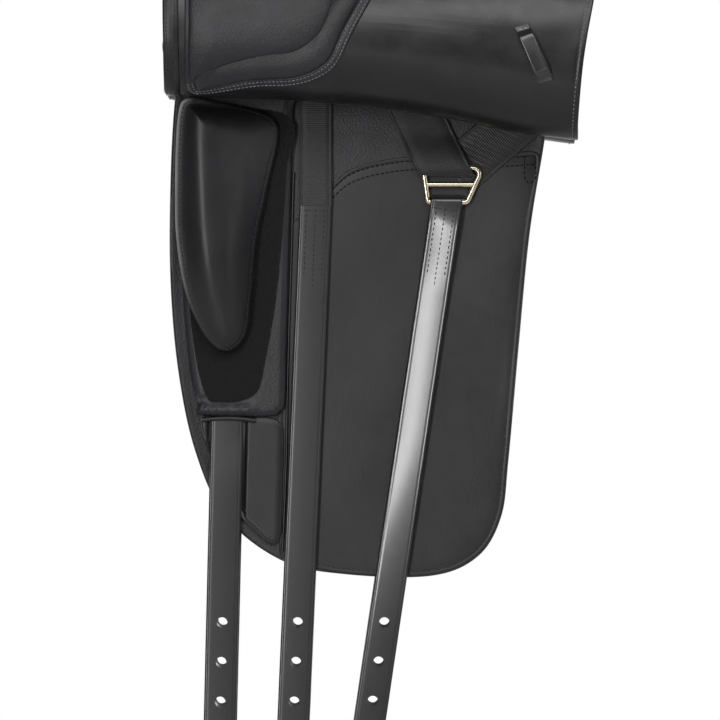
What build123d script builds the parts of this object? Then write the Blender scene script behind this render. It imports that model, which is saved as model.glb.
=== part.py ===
from build123d import *
import math
import os

# English dressage saddle, both flaps rolled up. Millimetres.
# +X rear, -X front, +Z up, -Y near (left) side, +Y off (right) side.
# The origin is the bearing point of the panels on the symmetry plane.

os.makedirs("parts", exist_ok=True)

# ---------------------------------------------------------------- driving sizes
GAP = 0.3                  # clearance between soft layers on different bodies

# seat: half width, lower edge height and crown height at stations along X
STATIONS = (-186, -150, -100, -40, 20, 80, 130, 175, 212, 236)
HALF_WIDTH = (50, 62, 80, 94, 104, 116, 128, 132, 112, 62)
EDGE_Z = (120, 107, 93, 85, 84, 93, 112, 135, 160, 182)
CROWN_Z = (160, 152, 136, 117, 112, 122, 145, 176, 203, 208)
COVER_T = 3.0              # seat leather
TREE_T = 12.0              # laminated wood
RAIL_W = 34.0              # width of the tree's side rails
TREE_INSET = 14.0          # tree stays this far inside the seat's edge

# the barrel surface that the sweat flaps follow: an arc over a vertical plane
ARC_Y = 22.0
ARC_Z = -20.0
SIDE_Y = 142.0             # inner face of the sweat flap
ARC_R = SIDE_Y - ARC_Y
SWEAT_T = 4.0
SWEAT_TOP_Z = 52.0
SWEAT_OUT = SIDE_Y + SWEAT_T

# girth straps
BILLET_W = 26.0
BILLET_T = 3.5
STRAP_IN = SWEAT_OUT + 3.3     # inner face of front and middle billets
HOLE_R = 4.25
HOLE_PITCH = 32.0
HOLE_COUNT = 7
FIRST_HOLE_Z = -423.0
BILLET_TIP_Z = -650.0
WEB_T = 2.0

FRONT_TOP = (-144.0, -261.5)   # billet top centre (x, z)
FRONT_LEAN = 1.4               # degrees, foot of the strap to the front
MIDDLE_TOP = (-72.4, -86.0)
MIDDLE_LEAN = 2.5
REAR_TOP = (33.0, -84.0)
REAR_LEAN = 8.4
MIDDLE_HINGE_Z = 10.0

# V ring and its webbing
RING_Y = SWEAT_OUT + 6.0
WIRE_R = 2.5
RING_TOP_Z = -56.5
RING_BAR_Z = -69.8
RING_LOW_Z = REAR_TOP[1]
RING_TOP_X = (14.0, 62.0)
RING_LOW_X = (18.0, 49.5)
LOOP_R = WIRE_R + 0.4          # inner radius of a strap loop on the wire

# front padded section, loop patch and knee block
PAD_LOW_T = 5.5
PAD_T = 10.0
PAD_SPLIT_Z = -259.0
PATCH_T = 1.2
HOOK_T = 1.0
BLOCK_T = 38.0
PATCH_IN = SWEAT_OUT + PAD_T
HOOK_IN = PATCH_IN + PATCH_T + GAP
BLOCK_IN = HOOK_IN + HOOK_T

# flaps and skirts: both turn about one line under the seat's edge
HINGE_Y = 105.0
HINGE_Z = 84.0
FLAP_T = 3.5
ROLL_R = 50.0
ROLL_Y = 215.0
ROLL_TOP_Z = 135.0
ROLL_LOW_FRONT = 54.0          # height of the lower turn's centre, front end
ROLL_LOW_REAR = 16.0           # and rear end
ROLL_END_UP = 20.0             # the tucked end above the lower turn's centre
ROLL_X = (-194.0, 150.0)
SKIRT_T = 4.0
FLAP_PAD_T = 6.0

# leather loop on the flap's outer face
KEEPER_W = 12.5
KEEPER_L = 46.0
KEEPER_RISE = 6.5
KEEPER_AT = (104.0, 35.0)
KEEPER_LEAN = 26.0

DEE_X = -158.0
DEE_Y = 101.0
DEE_Z = 64.0

# stirrup bars
BAR_IN = 116.0
BAR_T = 6.0
BAR_Z = (60.0, 71.0)
BAR_X = (-122.0, -62.0)
CATCH_PIN = (-66.0, 64.5)
BAR_ROOT = 68.5              # inner face of the bar's plate on the tree


def save(piece, label):
    """Label a finished piece and write it."""
    piece.part.label = label
    export_step(piece.part, f"parts/{label}.step")


def both_sides(make, name):
    """Build a piece for the near side, and its mirror image for the off side."""
    for side in ("near", "off"):
        piece = make(side)
        save(piece, f"{name}_{side}")


def station_line(values, rise):
    """Points (x, value + rise) along the seat."""
    return [(x, value + rise) for x, value in zip(STATIONS, values)]


def arc_y(radius, z):
    """Outward distance of an arc about the barrel's centre at height z."""
    if z <= ARC_Z:
        return ARC_Y + radius
    return ARC_Y + math.sqrt(radius ** 2 - (z - ARC_Z) ** 2)


# ---------------------------------------------------------------- seat
def seat_sections(shrink, rise, first, last):
    """Crowned sections along the seat; shrink narrows them, rise lifts their underside."""
    sections = []
    for i in range(first, last):
        with BuildSketch(Plane.YZ.offset(STATIONS[i])) as section:
            half = HALF_WIDTH[i] - shrink
            low = EDGE_Z[i] + rise
            high = CROWN_Z[i] - shrink
            with BuildLine():
                side_z = low + 0.55 * (high - low)
                Spline((-half, low), (-0.86 * half, side_z), (0, high), (0.86 * half, side_z), (half, low))
                Line((half, low), (-half, low))
            make_face()
        sections.append(section.sketch)
    return sections


def seat_cover():
    with BuildPart() as hollow:
        loft(sections=seat_sections(COVER_T, -0.01, 0, len(STATIONS)))
    with BuildPart() as cover:
        loft(sections=seat_sections(0, 0, 0, len(STATIONS)))
        add(hollow.part, mode=Mode.SUBTRACT)
    return cover


def plan_outline(inset, first_x, last_x):
    """Closed plan outline that follows the seat's width, inset from it."""
    inside = [(x, w) for x, w in zip(STATIONS, HALF_WIDTH) if first_x <= x <= last_x]
    right = [(x, w - inset) for x, w in inside]
    left = [(x, -y) for x, y in reversed(right)]
    Spline(*right)
    Line(right[-1], left[0])
    Spline(*left)
    Line(left[-1], right[0])


def side_strip(low, high, first_x, last_x):
    """Side profile between two lines parallel to the seat's edge."""
    below = [(x, z + low) for x, z in zip(STATIONS, EDGE_Z) if first_x <= x <= last_x]
    above = [(x, z + high) for x, z in zip(STATIONS, EDGE_Z) if first_x <= x <= last_x]
    Spline(*below)
    Line(below[-1], above[-1])
    Spline(*above)
    Line(above[0], below[0])


def arch(half, foot_y, foot_z, top, thick):
    """Head of the tree: an arch with long points, drawn in the YZ plane."""
    outer = [(-foot_y, foot_z), (-half, top - 16), (-half * 0.5, top), (half * 0.5, top),
             (half, top - 16), (foot_y, foot_z)]
    inner = [(foot_y - thick, foot_z - 4), (half - thick, top - 16 - thick * 0.6),
             (half * 0.5 - thick * 0.3, top - thick), (-half * 0.5 + thick * 0.3, top - thick),
             (-half + thick, top - 16 - thick * 0.6), (-foot_y + thick, foot_z - 4)]
    Polyline(*outer, *inner, close=True)


def tree_frame():
    with BuildPart() as tree:
        with BuildSketch(Plane.XY):
            with BuildLine():
                plan_outline(TREE_INSET, -150, 212)
            make_face()
            with BuildLine():
                plan_outline(TREE_INSET + RAIL_W, -100, 175)
            make_face(mode=Mode.SUBTRACT)
        extrude(amount=260)
        with BuildSketch(Plane.XZ):
            with BuildLine():
                side_strip(-TREE_T / 2, TREE_T / 2, -200, 240)
            make_face()
        extrude(amount=200, both=True, mode=Mode.INTERSECT)
        with BuildSketch(Plane.YZ.offset(-172)):
            with BuildLine():
                arch(76, 132, -44, 108, 12)
            make_face()
        extrude(amount=40)
    return tree


def head_plate():
    with BuildPart() as plate:
        with BuildSketch(Plane.YZ.offset(-174.5)):
            with BuildLine():
                arch(72, 100, 20, 105, 8)
            make_face()
        extrude(amount=2.5)
    return plate


def gullet_plate():
    with BuildPart() as plate:
        with BuildSketch(Plane.YZ.offset(-165)):
            with BuildLine():
                arch(63, 84, 30, 95.9, 2.5)
            make_face()
        extrude(amount=26)
    return plate


def tree_rivets():
    spots = [(-70, 84), (-30, 101), (30, 101), (70, 84), (-84, 50), (84, 50)]
    with BuildPart() as rivets:
        with BuildSketch(Plane.YZ.offset(-176.5)):
            with Locations(*spots):
                Circle(3.5)
        extrude(amount=2)
    return rivets


def spring_steels():
    with BuildPart() as steels:
        with BuildSketch(Plane.XY):
            for side in (-1, 1):
                rail = [(x, w - TREE_INSET) for x, w in zip(STATIONS, HALF_WIDTH) if -110 < x < 180]
                line = [(x, side * (y - 12)) for x, y in rail]
                inner = [(x, side * (y - 26)) for x, y in rail]
                with BuildLine():
                    Spline(*line)
                    Line(line[-1], inner[-1])
                    Spline(*inner)
                    Line(inner[0], line[0])
                make_face()
        extrude(amount=260)
        with BuildSketch(Plane.XZ):
            with BuildLine():
                side_strip(-TREE_T / 2 - 2.2, -TREE_T / 2 - 0.1, -200, 240)
            make_face()
        extrude(amount=200, both=True, mode=Mode.INTERSECT)
    return steels


def seat_webbing():
    """Two straining webs from head to cantle and one across."""
    with BuildPart() as webs:
        with BuildSketch(Plane.XY):
            with Locations((30, 22), (30, -22)):
                Rectangle(290, 36)
            with Locations((10, 0)):
                Rectangle(48, 150)
        extrude(amount=260)
        with BuildSketch(Plane.XZ):
            with BuildLine():
                side_strip(TREE_T / 2 + 0.2, TREE_T / 2 + 2.0, -200, 240)
            make_face()
        extrude(amount=200, both=True, mode=Mode.INTERSECT)
    return webs


def seat_foam():
    with BuildPart() as foam:
        loft(sections=seat_sections(COVER_T + 0.4, 0, 0, len(STATIONS)))
        with BuildSketch(Plane.XZ):
            with BuildLine():
                side_strip(TREE_T / 2 + 2.4, 150, -170, 225)
            make_face()
        extrude(amount=200, both=True, mode=Mode.INTERSECT)
    return foam


def seat_welt():
    """Piping cord round the seat's lower edge, one loop on each side."""
    with BuildPart() as welt:
        with BuildSketch(Plane.XY):
            with BuildLine():
                plan_outline(-3.0, -186, 236)
            make_face()
            with BuildLine():
                plan_outline(-0.5, -200, 240)
            make_face(mode=Mode.SUBTRACT)
        extrude(amount=260)
        with BuildSketch(Plane.XZ):
            with BuildLine():
                side_strip(-1.0, 4.0, -200, 240)
            make_face()
        extrude(amount=200, both=True, mode=Mode.INTERSECT)
    return welt


# ---------------------------------------------------------------- panels
PANEL = (
    # x, inner bottom, outer bottom, outer top, inner top  (outward y, z)
    (-186, (32, 60), (98, -66), (108, -56), (44, 82)),
    (-130, (32, 38), (102, -56), (110, -40), (44, 66)),
    (-80, (32, 12), (114, -24), (124, 8), (42, 62)),
    (0, (32, 2), (120, -10), (127, 20), (40, 60)),
    (80, (34, 8), (114, 2), (118, 34), (42, 68)),
    (150, (38, 84), (94, 81), (98, 97), (44, 107)),
    (205, (46, 102), (86, 99), (90, 124), (50, 136)),
)


def panel(side):
    with BuildPart() as cushion:
        for x, a, b, c, d in PANEL:
            with BuildSketch(Plane.YZ.offset(x)):
                with BuildLine():
                    Polyline(*[(-y, z) for y, z in (a, b, c, d)], close=True)
                make_face()
                fillet(vertices(), radius=6)
        loft()
        if side == "off":
            mirror(about=Plane.XZ, mode=Mode.REPLACE)
    return cushion


def channel_lining():
    """Webbing strip over each side of the gullet channel."""
    with BuildPart() as lining:
        with BuildSketch(Plane.XY.offset(66)):
            with Locations((30, 29), (30, -29)):
                Rectangle(120, 3)
        extrude(amount=12)
    return lining


def point_pockets():
    """Leather pockets over the ends of the tree points."""
    with BuildPart() as pockets:
        for side in (-1, 1):
            with BuildSketch(Plane.YZ.offset(-180)):
                with BuildLine():
                    Polyline((side * 120, -53), (side * 138.5, -53), (side * 127.5, -18), (side * 124, -18),
                             (side * 134.5, -48.6), (side * 120, -48.6), close=True)
                make_face()
            extrude(amount=56)
    return pockets


# ---------------------------------------------------------------- sweat flaps
SWEAT_OUTLINE = (
    (-180, 60), (-186, 0), (-189.5, -60), (-190, -140), (-184, -216), (-170, -284), (-145, -338),
    (-100, -373), (-50, -384), (20, -385.5), (58, -370), (77, -338), (83, -292), (91, -203), (100, -110),
    (112, -35), (124, 60),
)


def barrel_strip(low, high, foot_z, top_z):
    """Section between two radii about the barrel's centre, vertical below it."""
    drop = ARC_Z
    inner_top = (-arc_y(low, top_z), top_z)
    outer_top = (-arc_y(high, top_z), top_z)
    inner_mid = (-arc_y(low, (top_z + drop) / 2), (top_z + drop) / 2)
    outer_mid = (-arc_y(high, (top_z + drop) / 2), (top_z + drop) / 2)
    Line((-ARC_Y - low, foot_z), (-ARC_Y - low, drop))
    ThreePointArc((-ARC_Y - low, drop), inner_mid, inner_top)
    Line(inner_top, outer_top)
    ThreePointArc(outer_top, outer_mid, (-ARC_Y - high, drop))
    Line((-ARC_Y - high, drop), (-ARC_Y - high, foot_z))
    Line((-ARC_Y - high, foot_z), (-ARC_Y - low, foot_z))


def sweat_flap(side):
    with BuildPart() as flap:
        with BuildSketch(Plane.YZ):
            with BuildLine():
                barrel_strip(ARC_R, ARC_R + SWEAT_T, -400, SWEAT_TOP_Z)
            make_face()
        extrude(amount=220, both=True)
        with BuildSketch(Plane.XZ):
            with BuildLine():
                Spline(*SWEAT_OUTLINE)
                Line(SWEAT_OUTLINE[-1], SWEAT_OUTLINE[0])
            make_face()
        extrude(amount=200, mode=Mode.INTERSECT)
        if side == "off":
            mirror(about=Plane.XZ, mode=Mode.REPLACE)
    return flap


FRONT_EDGE_IN = (
    (-176, 2), (-180, -60), (-180.5, -140), (-174.5, -214), (-161, -279), (-138, -330), (-103, -362),
)


def front_strap_groove(width):
    """Outline of a channel along the front billet's line."""
    with Locations(Location((FRONT_TOP[0], FRONT_TOP[1], 0), FRONT_LEAN * -1)):
        Rectangle(width, 600)


def lower_pad(side):
    with BuildPart() as pad:
        with BuildSketch(Plane.XZ.offset(SWEAT_OUT)):
            with BuildLine():
                Spline(*FRONT_EDGE_IN)
                Line(FRONT_EDGE_IN[-1], (-101.5, -368))
                Line((-101.5, -368), (-90.5, 2))
                Line((-90.5, 2), FRONT_EDGE_IN[0])
            make_face()
            with Locations((-140, PAD_SPLIT_Z + 200)):
                Rectangle(200, 400, mode=Mode.SUBTRACT)
        extrude(amount=PAD_LOW_T)
        with BuildSketch(Plane.XZ.offset(STRAP_IN - 0.5)):
            front_strap_groove(BILLET_W + 3)
        extrude(amount=10, mode=Mode.SUBTRACT)
        if side == "off":
            mirror(about=Plane.XZ, mode=Mode.REPLACE)
    return pad


def front_pad(side):
    with BuildPart() as pad:
        with BuildSketch(Plane.XZ.offset(SWEAT_OUT)):
            with BuildLine():
                Spline(*FRONT_EDGE_IN)
                Line(FRONT_EDGE_IN[-1], (-101.5, -368))
                Line((-101.5, -368), (-90.5, 2))
                Line((-90.5, 2), FRONT_EDGE_IN[0])
            make_face()
            with Locations((-140, PAD_SPLIT_Z - 100)):
                Rectangle(200, 200, mode=Mode.SUBTRACT)
            with Locations((-140, -20 + 100)):
                Rectangle(200, 200, mode=Mode.SUBTRACT)
        extrude(amount=PAD_T)
        with BuildSketch(Plane.XZ.offset(STRAP_IN - 0.5)):
            front_strap_groove(BILLET_W + 3)
        extrude(amount=BILLET_T + 1, mode=Mode.SUBTRACT)
        if side == "off":
            mirror(about=Plane.XZ, mode=Mode.REPLACE)
    return pad


PATCH_OUTLINE = (
    (-172, -21), (-175, -60), (-176, -140), (-170, -205), (-160, -243), (-133, -243), (-117, -232),
    (-113, -205), (-99, -140), (-93, -80), (-92, -21),
)


def loop_patch(side):
    with BuildPart() as patch:
        with BuildSketch(Plane.XZ.offset(PATCH_IN)):
            with BuildLine():
                Spline(*PATCH_OUTLINE)
                Line(PATCH_OUTLINE[-1], PATCH_OUTLINE[0])
            make_face()
        extrude(amount=PATCH_T)
        if side == "off":
            mirror(about=Plane.XZ, mode=Mode.REPLACE)
    return patch


BLOCK_OUTLINE = (
    (-176, 0), (-150, -3), (-120, -9), (-105, -18), (-102.5, -34), (-110, -70), (-119, -115), (-123, -160),
    (-128, -192), (-143, -206), (-160, -196), (-176, -163), (-184, -122), (-186, -80), (-184, -18),
)


def knee_block(side):
    """Shaped foam block under leather, thick at the front and thin at its rear edge."""
    with BuildPart() as block:
        with BuildSketch(Plane.XZ.offset(BLOCK_IN)):
            with BuildLine():
                Spline(*BLOCK_OUTLINE, periodic=True)
            make_face()
        extrude(amount=BLOCK_T)
        with BuildSketch(Plane.XY):
            with BuildLine():
                Polyline((-190, -BLOCK_IN), (-190, -BLOCK_IN - 24), (-182, -BLOCK_IN - 34),
                         (-166, -BLOCK_IN - 38), (-146, -BLOCK_IN - 36), (-118, -BLOCK_IN - 18),
                         (-98, -BLOCK_IN - 8), (-98, -BLOCK_IN), close=True)
            make_face()
        extrude(amount=250, both=True, mode=Mode.INTERSECT)
        if side == "off":
            mirror(about=Plane.XZ, mode=Mode.REPLACE)
    return block


def block_hooks(side):
    with BuildPart() as hooks:
        with BuildSketch(Plane.XZ.offset(HOOK_IN)):
            with Locations((-148, -62)):
                Rectangle(44, 60)
            with Locations((-152, -150)):
                Rectangle(34, 56)
        extrude(amount=HOOK_T)
        if side == "off":
            mirror(about=Plane.XZ, mode=Mode.REPLACE)
    return hooks


# ---------------------------------------------------------------- girth straps
def strap_outline(top, lean, width, tip_z):
    """Leaning strap with parallel sides, a horizontal top and a pointed-round tip."""
    run = math.tan(math.radians(lean))
    half = width / 2 / math.cos(math.radians(lean))
    shoulder = tip_z + 22
    def at(z):
        return top[0] - (top[1] - z) * run
    left_top = (top[0] - half, top[1])
    right_top = (top[0] + half, top[1])
    left_low = (at(shoulder) - half, shoulder)
    right_low = (at(shoulder) + half, shoulder)
    Line(left_top, left_low)
    ThreePointArc(left_low, (at(tip_z + 5) - half * 0.55, tip_z + 5), (at(tip_z), tip_z))
    ThreePointArc((at(tip_z), tip_z), (at(tip_z + 5) + half * 0.55, tip_z + 5), right_low)
    Line(right_low, right_top)
    Line(right_top, left_top)


def hole_spots(top, lean):
    """Centres of the punched holes down a strap."""
    angle = math.radians(lean)
    spots = []
    for i in range(HOLE_COUNT):
        along = (top[1] - FIRST_HOLE_Z) / math.cos(angle) + i * HOLE_PITCH
        spots.append((top[0] - along * math.sin(angle), top[1] - along * math.cos(angle)))
    return spots


def billet(side, top, lean, inner_face):
    with BuildPart() as strap:
        with BuildSketch(Plane.XZ.offset(inner_face)):
            with BuildLine():
                strap_outline(top, lean, BILLET_W, BILLET_TIP_Z)
            make_face()
            with Locations(*hole_spots(top, lean)):
                Circle(HOLE_R, mode=Mode.SUBTRACT)
        extrude(amount=BILLET_T)
        if side == "off":
            mirror(about=Plane.XZ, mode=Mode.REPLACE)
    return strap


def front_billet(side):
    return billet(side, FRONT_TOP, FRONT_LEAN, STRAP_IN)


def middle_billet(side):
    return billet(side, MIDDLE_TOP, MIDDLE_LEAN, STRAP_IN)


def rear_billet(side):
    """Strap with a folded loop round the ring's lower bar."""
    inner = RING_Y - BILLET_T / 2
    with BuildPart() as strap:
        with BuildSketch(Plane.XZ.offset(inner)):
            with BuildLine():
                strap_outline((REAR_TOP[0] - 0.6, REAR_TOP[1] - 4), REAR_LEAN, BILLET_W - 0.6, BILLET_TIP_Z)
            make_face()
            with Locations(*hole_spots(REAR_TOP, REAR_LEAN)):
                Circle(HOLE_R, mode=Mode.SUBTRACT)
        extrude(amount=BILLET_T)
        with BuildSketch(Plane.YZ.offset(REAR_TOP[0] - 12)):
            with Locations((-RING_Y, REAR_TOP[1])):
                Circle(LOOP_R + 2)
                Circle(LOOP_R, mode=Mode.SUBTRACT)
        extrude(amount=24)
        if side == "off":
            mirror(about=Plane.XZ, mode=Mode.REPLACE)
    return strap


def strap_webbing(side):
    """Webbing in the front pad's channel; it carries the front billet."""
    with BuildPart() as web:
        with BuildSketch(Plane.XZ.offset(STRAP_IN)):
            with Locations(Location((-141.2, -143, 0), -FRONT_LEAN)):
                Rectangle(BILLET_W - 1, 233)
        extrude(amount=WEB_T)
        if side == "off":
            mirror(about=Plane.XZ, mode=Mode.REPLACE)
    return web


def middle_webbing(side):
    with BuildPart() as web:
        with BuildSketch(Plane.XZ.offset(STRAP_IN + 0.7)):
            with Locations((MIDDLE_TOP[0], (MIDDLE_HINGE_Z - 1 + MIDDLE_TOP[1]) / 2)):
                Rectangle(BILLET_W, MIDDLE_HINGE_Z - 1 - MIDDLE_TOP[1])
        extrude(amount=WEB_T)
        if side == "off":
            mirror(about=Plane.XZ, mode=Mode.REPLACE)
    return web


def middle_web_top(side):
    """Fixed run of the same webbing from the tree down to where it flexes."""
    with BuildPart() as web:
        with BuildSketch(Plane.YZ.offset(MIDDLE_TOP[0] - BILLET_W / 2)):
            with BuildLine():
                barrel_strip(ARC_R + 6.5, ARC_R + 6.5 + WEB_T, -30, 50)
            make_face()
            with BuildLine():
                Polyline((-127.4, 50), (-129.8, 50), (-125.6, 55.2), (-112, 58.2), (-70, 80.9), (-69, 79.0),
                         (-111.4, 56.2), (-124.6, 53.2), close=True)
            make_face()
        extrude(amount=BILLET_W)
        split(bisect_by=Plane.XY.offset(MIDDLE_HINGE_Z + 2), keep=Keep.TOP)
        if side == "off":
            mirror(about=Plane.XZ, mode=Mode.REPLACE)
    return web


def v_webbing(side):
    """Two legs of webbing that meet at the ring and fold round its top bar."""
    bar_x = (RING_TOP_X[0] + RING_TOP_X[1]) / 2 - 0.5
    low = RING_TOP_Z + 3
    with BuildPart() as web:
        with BuildSketch(Plane.YZ):
            with BuildLine():
                barrel_strip(ARC_R + 5.1, ARC_R + 5.1 + WEB_T, -200, 72)
            make_face()
        extrude(amount=300, both=True)
        with BuildSketch(Plane.XZ):
            with BuildLine():
                Polyline((bar_x - 16, RING_TOP_Z), (bar_x + 16, RING_TOP_Z), (bar_x + 30, low), (96, -31),
                         (150, 10), (150, 62), (38, -18), (33, -22), (-6, 72), (-49, 72),
                         (bar_x - 28, low), close=True)
            make_face()
        extrude(amount=200, mode=Mode.INTERSECT)
        with BuildSketch(Plane.YZ.offset(bar_x - 16)):
            with Locations((-RING_Y, RING_TOP_Z)):
                Circle(LOOP_R + WEB_T)
        extrude(amount=32)
        with BuildSketch(Plane.YZ.offset(bar_x - 16)):
            with Locations((-RING_Y, RING_TOP_Z)):
                Circle(LOOP_R)
        extrude(amount=32, mode=Mode.SUBTRACT)
        if side == "off":
            mirror(about=Plane.XZ, mode=Mode.REPLACE)
    return web


def v_ring(side):
    """Round wire bent to a trapezoid, with a bar welded across it."""
    with BuildPart() as ring:
        with BuildLine(Plane.XZ.offset(RING_Y)) as path:
            FilletPolyline((RING_TOP_X[0], RING_TOP_Z), (RING_TOP_X[1], RING_TOP_Z), (RING_LOW_X[1], RING_LOW_Z),
                           (RING_LOW_X[0], RING_LOW_Z), radius=[5, 5, 3, 3], close=True)
        with BuildSketch(Plane(path.line @ 0, z_dir=path.line % 0)):
            Circle(WIRE_R)
        sweep()
        rise = (RING_TOP_Z - RING_BAR_Z) / (RING_TOP_Z - RING_LOW_Z)
        left = RING_TOP_X[0] + rise * (RING_LOW_X[0] - RING_TOP_X[0])
        right = RING_TOP_X[1] + rise * (RING_LOW_X[1] - RING_TOP_X[1])
        with BuildSketch(Plane.YZ.offset(left)):
            with Locations((-RING_Y, RING_BAR_Z)):
                Circle(WIRE_R * 0.9)
        extrude(amount=right - left)
        if side == "off":
            mirror(about=Plane.XZ, mode=Mode.REPLACE)
    return ring


# ---------------------------------------------------------------- flaps
def roll_section(x, low_z, lift, thick):
    """Section of the rolled flap: up and out, over, down the face, under and up inside."""
    out_r = ROLL_R + lift
    in_r = out_r - thick
    top_c = ROLL_TOP_Z - ROLL_R
    end_z = low_z + ROLL_END_UP
    lifted = lift - thick
    with BuildSketch(Plane.YZ.offset(x)) as section:
        with BuildLine():
            Spline((-109 + lift, 88 + lift), (-138, 118 + lift), (-ROLL_Y, top_c + out_r), tangents=((-1, 1), (-1, 0)))
            RadiusArc((-ROLL_Y, top_c + out_r), (-ROLL_Y - out_r, top_c), -out_r)
            Line((-ROLL_Y - out_r, top_c), (-ROLL_Y - out_r, low_z))
            ThreePointArc((-ROLL_Y - out_r, low_z), (-ROLL_Y, low_z - out_r), (-ROLL_Y + out_r, low_z))
            Line((-ROLL_Y + out_r, low_z), (-ROLL_Y + out_r, end_z))
            Line((-ROLL_Y + out_r, end_z), (-ROLL_Y + in_r, end_z))
            Line((-ROLL_Y + in_r, end_z), (-ROLL_Y + in_r, low_z))
            ThreePointArc((-ROLL_Y + in_r, low_z), (-ROLL_Y, low_z - in_r), (-ROLL_Y - in_r, low_z))
            Line((-ROLL_Y - in_r, low_z), (-ROLL_Y - in_r, top_c))
            RadiusArc((-ROLL_Y - in_r, top_c), (-ROLL_Y, top_c + in_r), in_r)
            Spline((-ROLL_Y, top_c + in_r), (-139, 115 + lifted), (-111.5, 85.5 + lifted), tangents=((1, 0), (1, -1)))
            Line((-111.5, 85.5 + lifted), (-109 + lift, 88 + lift))
        make_face()
    return section.sketch


def flap(side):
    """Flap rolled up on itself, its outer face out; free end tucked up inside."""
    with BuildPart() as rolled:
        front = roll_section(ROLL_X[0], ROLL_LOW_FRONT, 0, FLAP_T)
        rear = roll_section(ROLL_X[1], ROLL_LOW_REAR, 0, FLAP_T)
        loft(sections=[front, rear], ruled=True)
        with BuildSketch(Plane.XY):
            with Locations((-92, -112)):
                Rectangle(84, 44)
            with Locations((125, -100)):
                Rectangle(210, 124)
            with Locations((-180, -100)):
                Rectangle(72, 110)
        extrude(amount=300, both=True, mode=Mode.SUBTRACT)
        if side == "off":
            mirror(about=Plane.XZ, mode=Mode.REPLACE)
    return rolled


def flap_pad(side):
    """Padded panel on the rolled flap's outer face, wrapped round its lower turn."""
    with BuildPart() as pad:
        front = roll_section(ROLL_X[0], ROLL_LOW_FRONT, FLAP_PAD_T + 0.1, FLAP_PAD_T)
        rear = roll_section(ROLL_X[1], ROLL_LOW_REAR, FLAP_PAD_T + 0.1, FLAP_PAD_T)
        loft(sections=[front, rear], ruled=True)
        with BuildSketch(Plane.XZ):
            with BuildLine():
                Spline((-176, 84), (-176, 20), (-162, 6), (-118, 10), (-82, 17), (-57, 28), (-42, 50), (-28, 84))
                Line((-28, 84), (-176, 84))
            make_face()
        extrude(amount=400, mode=Mode.INTERSECT)
        split(bisect_by=Plane.XZ.offset(ROLL_Y + 6), keep=Keep.TOP)
        if side == "off":
            mirror(about=Plane.XZ, mode=Mode.REPLACE)
    return pad


def keeper(side):
    """Small leather loop on the flap's outer face; it holds a stirrup leather's end."""
    with BuildPart() as loop:
        with BuildSketch(Plane.XZ.offset(ROLL_Y + ROLL_R + 0.1)):
            with Locations(Location((KEEPER_AT[0], KEEPER_AT[1], 0), KEEPER_LEAN)):
                Rectangle(KEEPER_W, KEEPER_L)
        extrude(amount=KEEPER_RISE)
        with BuildSketch(Plane.XZ.offset(ROLL_Y + ROLL_R + 0.1)):
            with Locations(Location((KEEPER_AT[0], KEEPER_AT[1], 0), KEEPER_LEAN)):
                Rectangle(KEEPER_W + 10, KEEPER_L - 14)
        extrude(amount=KEEPER_RISE - 2, mode=Mode.SUBTRACT)
        if side == "off":
            mirror(about=Plane.XZ, mode=Mode.REPLACE)
    return loop


def skirt(side):
    """Skirt lying over the rolled flap's top."""
    with BuildPart() as cover:
        with BuildSketch(Plane.YZ.offset(-140)):
            with BuildLine():
                Spline((-108, 92), (-138, 124), (-212, 141), tangents=((-1, 1.1), (-1, 0)))
                Line((-212, 141), (-212, 141 + SKIRT_T))
                Spline((-212, 141 + SKIRT_T), (-136, 124 + SKIRT_T), (-105, 95), tangents=((1, 0), (1, -1.1)))
                Line((-105, 95), (-108, 92))
            make_face()
        extrude(amount=215)
        with BuildSketch(Plane.XY):
            with BuildLine():
                Spline((18, -104), (20, -118), (56, -150), (40, -196), (-30, -212), (-100, -196), (-130, -150),
                       (-128, -104))
                Line((-128, -104), (18, -104))
            make_face()
        extrude(amount=300, mode=Mode.INTERSECT)
        if side == "off":
            mirror(about=Plane.XZ, mode=Mode.REPLACE)
    return cover


# ---------------------------------------------------------------- metalwork
def stirrup_bar(side):
    """Forged bar: a plate on the tree's rail, an arm out of it and a blade to the rear."""
    low, high = BAR_Z
    with BuildPart() as bar:
        with BuildSketch(Plane.XY.offset(low)):
            with BuildLine():
                Polyline((BAR_X[0] - 9.5, -BAR_ROOT), (BAR_X[0] - 9.5, -BAR_IN - BAR_T),
                         (BAR_X[1] - 10, -BAR_IN - BAR_T), (BAR_X[1] - 10, -BAR_IN), (BAR_X[0] + 2, -BAR_IN),
                         (BAR_X[0] + 2, -BAR_ROOT), close=True)
            make_face()
        extrude(amount=high - low)
        with Locations((BAR_X[1] - 5, -BAR_IN - BAR_T / 4 + 0.15, (low + high) / 2)):
            Box(11, BAR_T / 2 - 0.3, high - low)
        with BuildSketch(Plane.XZ.offset(BAR_IN)):
            with Locations(CATCH_PIN):
                Circle(1.5)
        extrude(amount=BAR_T)
        with BuildSketch(Plane.XY.offset(low)):
            with Locations((BAR_X[0] + 7.5, -BAR_ROOT - 2)):
                Rectangle(34, 4)
        extrude(amount=34)
        if side == "off":
            mirror(about=Plane.XZ, mode=Mode.REPLACE)
    return bar


def bar_catch(side):
    with BuildPart() as catch:
        with BuildSketch(Plane.XZ.offset(BAR_IN + BAR_T / 2 + 0.2)):
            with BuildLine():
                Polyline((CATCH_PIN[0] - 3.5, 61), (CATCH_PIN[0] - 3.5, 68), (CATCH_PIN[0] + 13, 70),
                         (CATCH_PIN[0] + 15, 66), (CATCH_PIN[0] + 12, 61), close=True)
            make_face()
            with Locations(CATCH_PIN):
                Circle(1.6, mode=Mode.SUBTRACT)
        extrude(amount=BAR_T / 2 - 0.4)
        if side == "off":
            mirror(about=Plane.XZ, mode=Mode.REPLACE)
    return catch


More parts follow.
